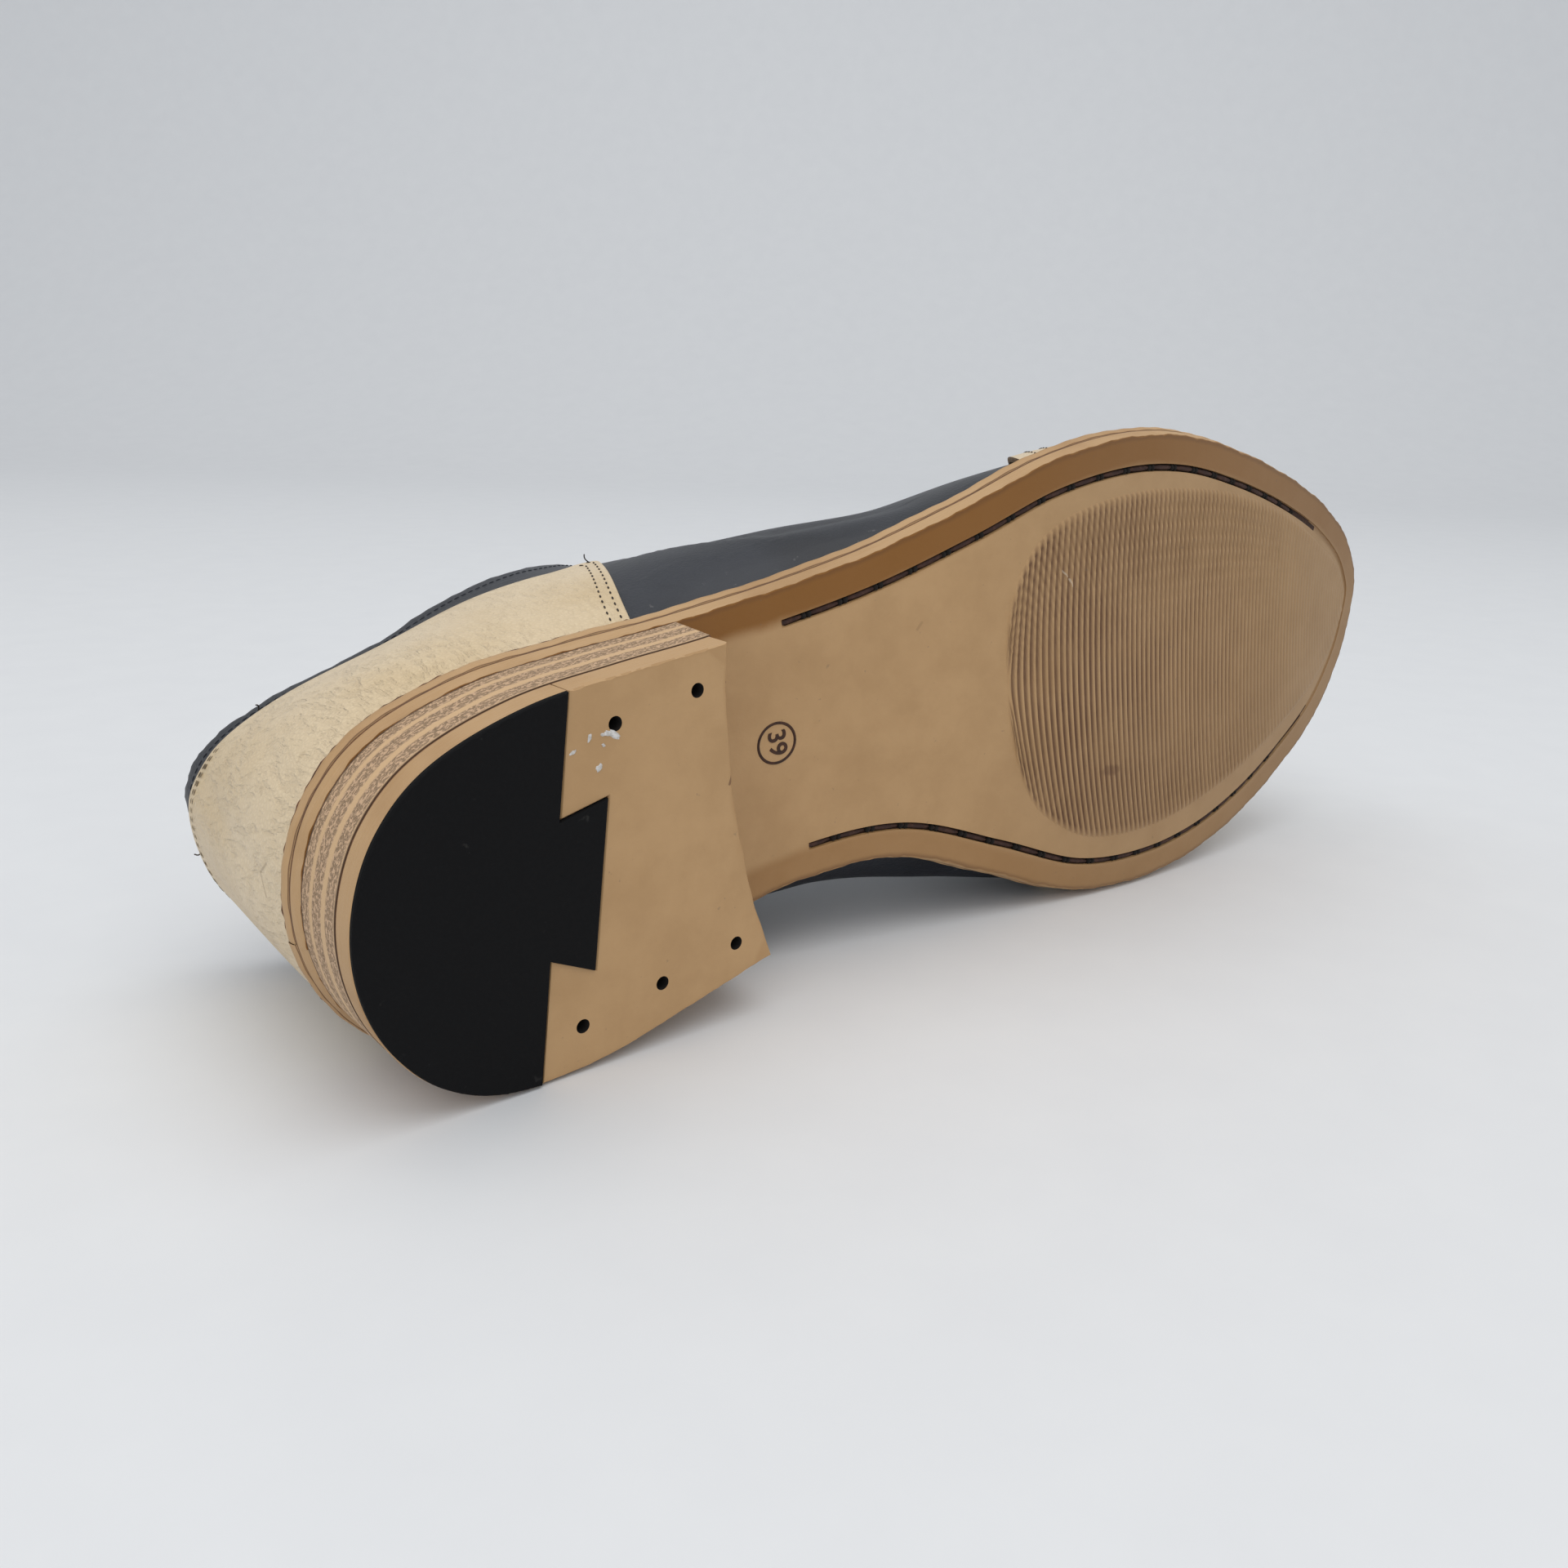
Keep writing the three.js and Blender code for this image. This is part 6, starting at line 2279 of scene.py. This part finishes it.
@dataclass
class Lacing:
    """Facings, tongue, eyelets and laces."""

    wardrobe: Wardrobe
    pairs: int = 5
    bore: float = 3.2
    wall: float = 0.5
    flange: float = 6.4
    shank: float = 2.0
    flange_thickness: float = 0.7
    edge_distance: float = 4.5
    first_row: float = 8.35
    last_row: float = 11.1
    facing: float = 1
    facing_gap: float = 0.35
    facing_top_row: float = 7.5
    facing_end_row: float = 12
    facing_top_width: float = 24
    facing_end_width: float = 8
    lace_width: float = 4
    lace_thickness: float = 1.6
    lace_set_back: float = 0.2
    tongue_top_row: float = 7
    tongue_end_row: float = 12.5
    tongue_stands_out: float = 14
    tongue_gap: float = 1.3
    tongue_thickness: float = 2

    def build(self) -> None:
        """Makes the throat's pieces."""
        for side, name in ((-1, "lateral"), (1, "medial")):
            self._facing(side, name)
        self._tongue()
        self._eyelets()
        self._laces()

    def _ring(self, side: int, row: float) -> float:
        """Ring place of a row on one side."""
        return row if side < 0 else RING_ROWS - row

    def _facing_ends(self, side: int, row: float, set_in: float) -> tuple[float, float]:
        """Lowest and highest share of the facing at a row."""
        ring = self._ring(side, row)
        ahead = (row - self.facing_top_row) / (self.facing_end_row - self.facing_top_row)
        rounded = math.sqrt(1 - (0.95 * ahead) ** 4)
        width = self.facing_top_width + (self.facing_end_width - self.facing_top_width) * ahead
        edge_top = float(LAST.top_share(np.array([ring]))[0])
        edge = LAST.share_below(ring, edge_top, 0.3 + set_in)
        return LAST.share_below(ring, edge, max(width * rounded - 2 * set_in, 0.2)), edge

    def _facing(self, side: int, name: str) -> None:
        """One eyelet strip with its seam."""
        rows = np.linspace(self.facing_top_row, self.facing_end_row, 91)
        steps = np.linspace(0, 1, 17)
        ring, share = [], []
        for row in rows:
            inner, edge = self._facing_ends(side, float(row), 0)
            ring.append(np.full(len(steps), self._ring(side, float(row))))
            share.append(inner + (edge - inner) * steps)
        places, shares = np.array(ring), np.array(share)
        if side > 0:
            places, shares = places[::-1], shares[::-1]
        normals = LAST.normal(places, shares)
        points = LAST.point(places, shares) + normals * (self.facing_gap + self.facing)
        uv = np.stack([points[..., 0], shares * 50], -1)
        obj = make_grid(f"facing_{name}_leather", points, uv, 60)
        self.wardrobe.dress(obj, "navy_leather", "raw_edge", "raw_edge")
        thickened(obj, self.facing, 0.3, inner=1, rim=1)
        ride(obj, "navy_leather", f"facing_{name}")
        line = []
        for row in np.linspace(self.facing_top_row + 0.15, self.facing_end_row - 0.1, 70):
            inner, _ = self._facing_ends(side, float(row), 1.8)
            line.append((self._ring(side, float(row)), inner))
        path = np.array(line)
        lifted = surface_path(path[:, 0], path[:, 1], self.facing_gap + self.facing + 0.08)
        stitches = Stitching(2.4, 1.7, 0.45)
        self.wardrobe.sew_on(f"facing_{name}_seam", stitches, [lifted], "navy_thread")

    def _tongue(self) -> None:
        """The tongue under the throat, standing out above the facings."""
        rows = np.linspace(self.tongue_top_row, self.tongue_end_row, 70)
        front = LAST.collar_front_row
        wide_row, side_share, widening = 9.5, 0.68, 0.22
        ridge = LAST.point(np.array([front, front + 0.5]), np.ones(2))
        along = (ridge[0] - ridge[1]) / np.linalg.norm(ridge[0] - ridge[1])
        grid = []
        for row in rows:
            narrowing = np.clip((wide_row - row) / (wide_row - self.tongue_top_row), 0, 1)
            lowest = side_share + widening * narrowing
            shares = lowest + (1 - lowest) * np.linspace(0, 1, 4)
            base_row = max(float(row), front)
            ring = np.repeat([base_row, RING_ROWS - base_row], (4, 3))
            share = np.concatenate([shares, shares[:-1][::-1]])
            normal = LAST.normal(ring, np.minimum(share, 0.97))
            middle = normal[3] + normal[3] * [1, -1, 1]
            normal[3] = middle / np.linalg.norm(middle)
            points = LAST.point(ring, share) - normal * (LAST.wall + self.tongue_gap)
            points += along * max(front - row, 0) * self.tongue_stands_out
            grid.append(smooth_path(points, 25))
        points = np.array(grid)
        uv = np.stack([points[..., 0], points[..., 2]], -1)
        obj = make_grid("tongue_leather", points, uv, 60)
        self.wardrobe.dress(obj, "navy_leather", "lining_leather", "raw_edge")
        thickened(obj, self.tongue_thickness, 0.4, inner=1, rim=2)
        ride(obj, "navy_leather", "tongue")

    def _eyelet_place(self, side: int, number: int) -> tuple[Array, Array]:
        """Centre of an eyelet on the last, and its outward direction."""
        span = self.last_row - self.first_row
        ring = self._ring(side, self.first_row + span * number / (self.pairs - 1))
        top = float(LAST.top_share(np.array([ring]))[0])
        share = LAST.share_below(ring, top, self.edge_distance)
        place = (np.array([ring]), np.array([share]))
        return LAST.point(*place)[0], LAST.normal(*place)[0]

    def _eyelets(self) -> None:
        """Enamelled rings with a rolled flange."""
        seat = self.facing_gap + self.facing + LAST.gap
        bore, outer = self.bore / 2, self.flange / 2
        foot = -self.shank
        profile = [
            (bore, foot), (bore + self.wall, foot), (bore + self.wall, seat), (outer - 0.1, seat),
            (outer, seat + 0.15), (outer - 0.25, seat + 0.5), (outer - 0.9, seat + 0.7),
            (bore + 0.5, seat + 0.62), (bore + 0.12, seat + 0.35), (bore, seat - 0.2), (bore, foot),
        ]
        sides = 28
        points, faces = [], []
        for side in (-1, 1):
            for number in range(self.pairs):
                centre, normal = self._eyelet_place(side, number)
                across = np.cross(normal, [1.0, 0, 0])
                across /= np.linalg.norm(across)
                other = np.cross(normal, across)
                base = sum(len(p) for p in points)
                angles = np.linspace(0, 2 * math.pi, sides + 1)
                block = []
                for angle in angles:
                    ray = across * math.cos(angle) + other * math.sin(angle)
                    block += [centre + ray * r + normal * h for r, h in profile]
                points.append(np.array(block))
                grid = grid_faces(sides + 1, len(profile))
                faces += [tuple(base + k for k in face) for face in grid]
        obj = make_object("eyelet_rings", np.vstack(points), faces, sharp=50)
        names = [f"eyelet_{s}_{i + 1}" for s in ("lateral", "medial") for i in range(self.pairs)]
        self.wardrobe.cover(obj, "eyelet_metal", "eyelet_metal", *names)

    def _laces(self) -> None:
        """Flat cords over the throat that dip into the eyelets."""
        height = self.facing_gap + self.facing + LAST.gap + self.flange_thickness
        height += LAST.gap + self.lace_thickness / 2
        points, faces = [], []
        for number in range(self.pairs):
            (a, na), (b, nb) = (self._eyelet_place(side, number) for side in (-1, 1))
            lift = (na + nb) / np.linalg.norm(na + nb)
            start, end = a + na * height, b + nb * height
            span = end - start
            reach = np.linalg.norm(span) / 3
            ha = span - na * np.dot(span, na)
            hb = span - nb * np.dot(span, nb)
            ha, hb = ha / np.linalg.norm(ha) * reach, hb / np.linalg.norm(hb) * reach
            t = np.linspace(0, 1, 22)[:, None]
            route = (
                (1 - t) ** 3 * start
                + 3 * t * (1 - t) ** 2 * (start + ha)
                + 3 * t**2 * (1 - t) * (end - hb)
                + t**3 * end
            )
            dip = np.array([3.2, 2.0, 1.0, 0.35])[:, None]
            out = np.array([0.0, 0.15, 0.45, 0.8])[:, None]
            ua, ub = ha / np.linalg.norm(ha), hb / np.linalg.norm(hb)
            head = start - na * dip - ua * (1 - out) * self.lace_set_back
            tail = end - nb * dip[::-1] + ub * (1 - out[::-1]) * self.lace_set_back
            path = np.vstack([head, route, tail])
            tangent = np.gradient(path, axis=0)
            tangent /= np.linalg.norm(tangent, axis=1, keepdims=True)
            forward = np.cross(ua, lift)
            forward /= np.linalg.norm(forward)
            across = np.repeat(forward[None], len(path), axis=0)
            up = np.cross(across, tangent)
            up /= np.linalg.norm(up, axis=1, keepdims=True)
            width = np.full(len(path), 1.0)
            pinch = np.linspace(0.62, 0.9, len(dip))
            width[: len(dip)] = pinch
            width[-len(dip) :] = pinch[::-1]
            block, block_faces = sweep(
                path, across * width[:, None], up, self.lace_width, self.lace_thickness * 0.8, 12
            )
            base = sum(len(p) for p in points)
            points.append(block)
            faces += [tuple(base + k for k in face) for face in block_faces]
        obj = make_object("laces", np.vstack(points), faces, sharp=60)
        names = [f"lace_bar_{i + 1}" for i in range(self.pairs)]
        self.wardrobe.cover(obj, "lace_cotton", "lace_cotton", *names)


@dataclass(frozen=True)
class Studio:
    """Pale floor, soft light and the camera."""

    centre: tuple[float, float, float] = (-50.03, -99.24, -165.35)
    view: tuple[float, float, float] = (0.55014, 0.42505, 0.7188)
    up: tuple[float, float, float] = (0.35722, -0.89782, 0.25751)
    focal_share: float = 1700 / 1920
    sensor: float = 36

    def build(self) -> None:
        """Sets everything up."""
        self._camera()
        self._floor()
        self._lights()

    def _camera(self) -> None:
        """The camera at the photograph's angle."""
        data = bpy.data.cameras.new("camera")
        data.sensor_width = self.sensor
        data.sensor_fit = "HORIZONTAL"
        data.lens = self.sensor * self.focal_share
        data.clip_start = 0.01
        camera = bpy.data.objects.new("camera", data)
        bpy.context.scene.collection.objects.link(camera)
        forward = LAID.direction(self.view).normalized()
        upward = LAID.direction(self.up)
        upward = (upward - forward * upward.dot(forward)).normalized()
        right = forward.cross(upward)
        turn = Matrix((right, upward, -forward)).transposed().to_4x4()
        spot = LAID.to_frame(np.array([self.centre]))[0]
        camera.matrix_world = Matrix.Translation(Vector(spot)) @ turn
        bpy.context.scene.camera = camera
        LOG.info("camera %.1f mm over the floor", spot[2] / MM)

    def _floor(self) -> None:
        """A pale sweep: floor and backdrop in one."""
        depth = [-1.2, -0.4, 0.4, 1.0]
        profile = [(d, 0.0) for d in depth]
        radius = 0.6
        backdrop = 2.4
        for angle in np.linspace(0, math.pi / 2, 12)[1:]:
            profile.append((depth[-1] + radius * math.sin(angle), radius * (1 - math.cos(angle))))
        profile.append((depth[-1] + radius, backdrop))
        forward = LAID.direction(self.view)
        flat = Vector((forward.x, forward.y, 0)).normalized()
        side = Vector((flat.y, -flat.x, 0))
        points, faces = [], []
        for away, height in profile:
            for across in (-2.0, 2.0):
                points.append(flat * away + side * across + Vector((0, 0, height)))
        for i in range(len(profile) - 1):
            faces.append((2 * i, 2 * i + 1, 2 * i + 3, 2 * i + 2))
        mesh = bpy.data.meshes.new("floor")
        mesh.from_pydata([tuple(p) for p in points], [], faces)
        mesh.shade_smooth()
        floor = bpy.data.objects.new("floor", mesh)
        bpy.context.scene.collection.objects.link(floor)
        s = Shader("floor_paper")
        mottle = s.noise(60, 3)
        colour = s.blend(mottle, (0.76, 0.77, 0.785), (0.8, 0.81, 0.82))
        mesh.materials.append(s.close(colour, 0.6))

    def _lights(self) -> None:
        """Soft light from above, with a weak fill from the camera's side."""
        world = bpy.data.worlds.new("studio")
        bpy.context.scene.world = world
        world.use_nodes = True
        sky = Tree(world.node_tree)
        world.node_tree.nodes.clear()
        glow = sky.node("ShaderNodeBackground", {}, {"Color": (0.93, 0.96, 1.0, 1), "Strength": 0.6})
        sky.node("ShaderNodeOutputWorld", {}, {"Surface": glow.outputs[0]})
        self._area("ceiling", (-0.1, -0.15, 1.3), (0, 0, 0), 1.6, 9.5, (1.0, 0.985, 0.96))
        self._area("fill", (-0.9, -0.9, 0.7), (0, 0, 0.05), 0.9, 2.5, (0.95, 0.97, 1.0))

    def _area(
        self,
        name: str,
        spot: Sequence[float],
        target: Sequence[float],
        size: float,
        power: float,
        colour: Colour,
    ) -> None:
        """One square light that looks at a point."""
        data = bpy.data.lights.new(name, "AREA")
        data.size = size
        data.energy = power
        data.color = colour
        light = bpy.data.objects.new(name, data)
        light.location = spot
        aim = Vector(target) - Vector(spot)
        light.rotation_euler = aim.to_track_quat("-Z", "Y").to_euler()
        bpy.context.scene.collection.objects.link(light)


def main() -> None:
    """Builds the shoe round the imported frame."""
    logging.basicConfig(level=logging.INFO, format="%(name)s %(message)s")
    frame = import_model()
    bpy.context.scene.view_settings.view_transform = "Standard"
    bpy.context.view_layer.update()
    wardrobe = Wardrobe()
    wardrobe.dress(frame["nodes"]["insole"], "lining_leather")
    Studio().build()
    for assembly in (Sole(wardrobe), Heel(wardrobe), Upper(wardrobe), Lacing(wardrobe)):
        assembly.build()


if __name__ == "__main__":
    main()
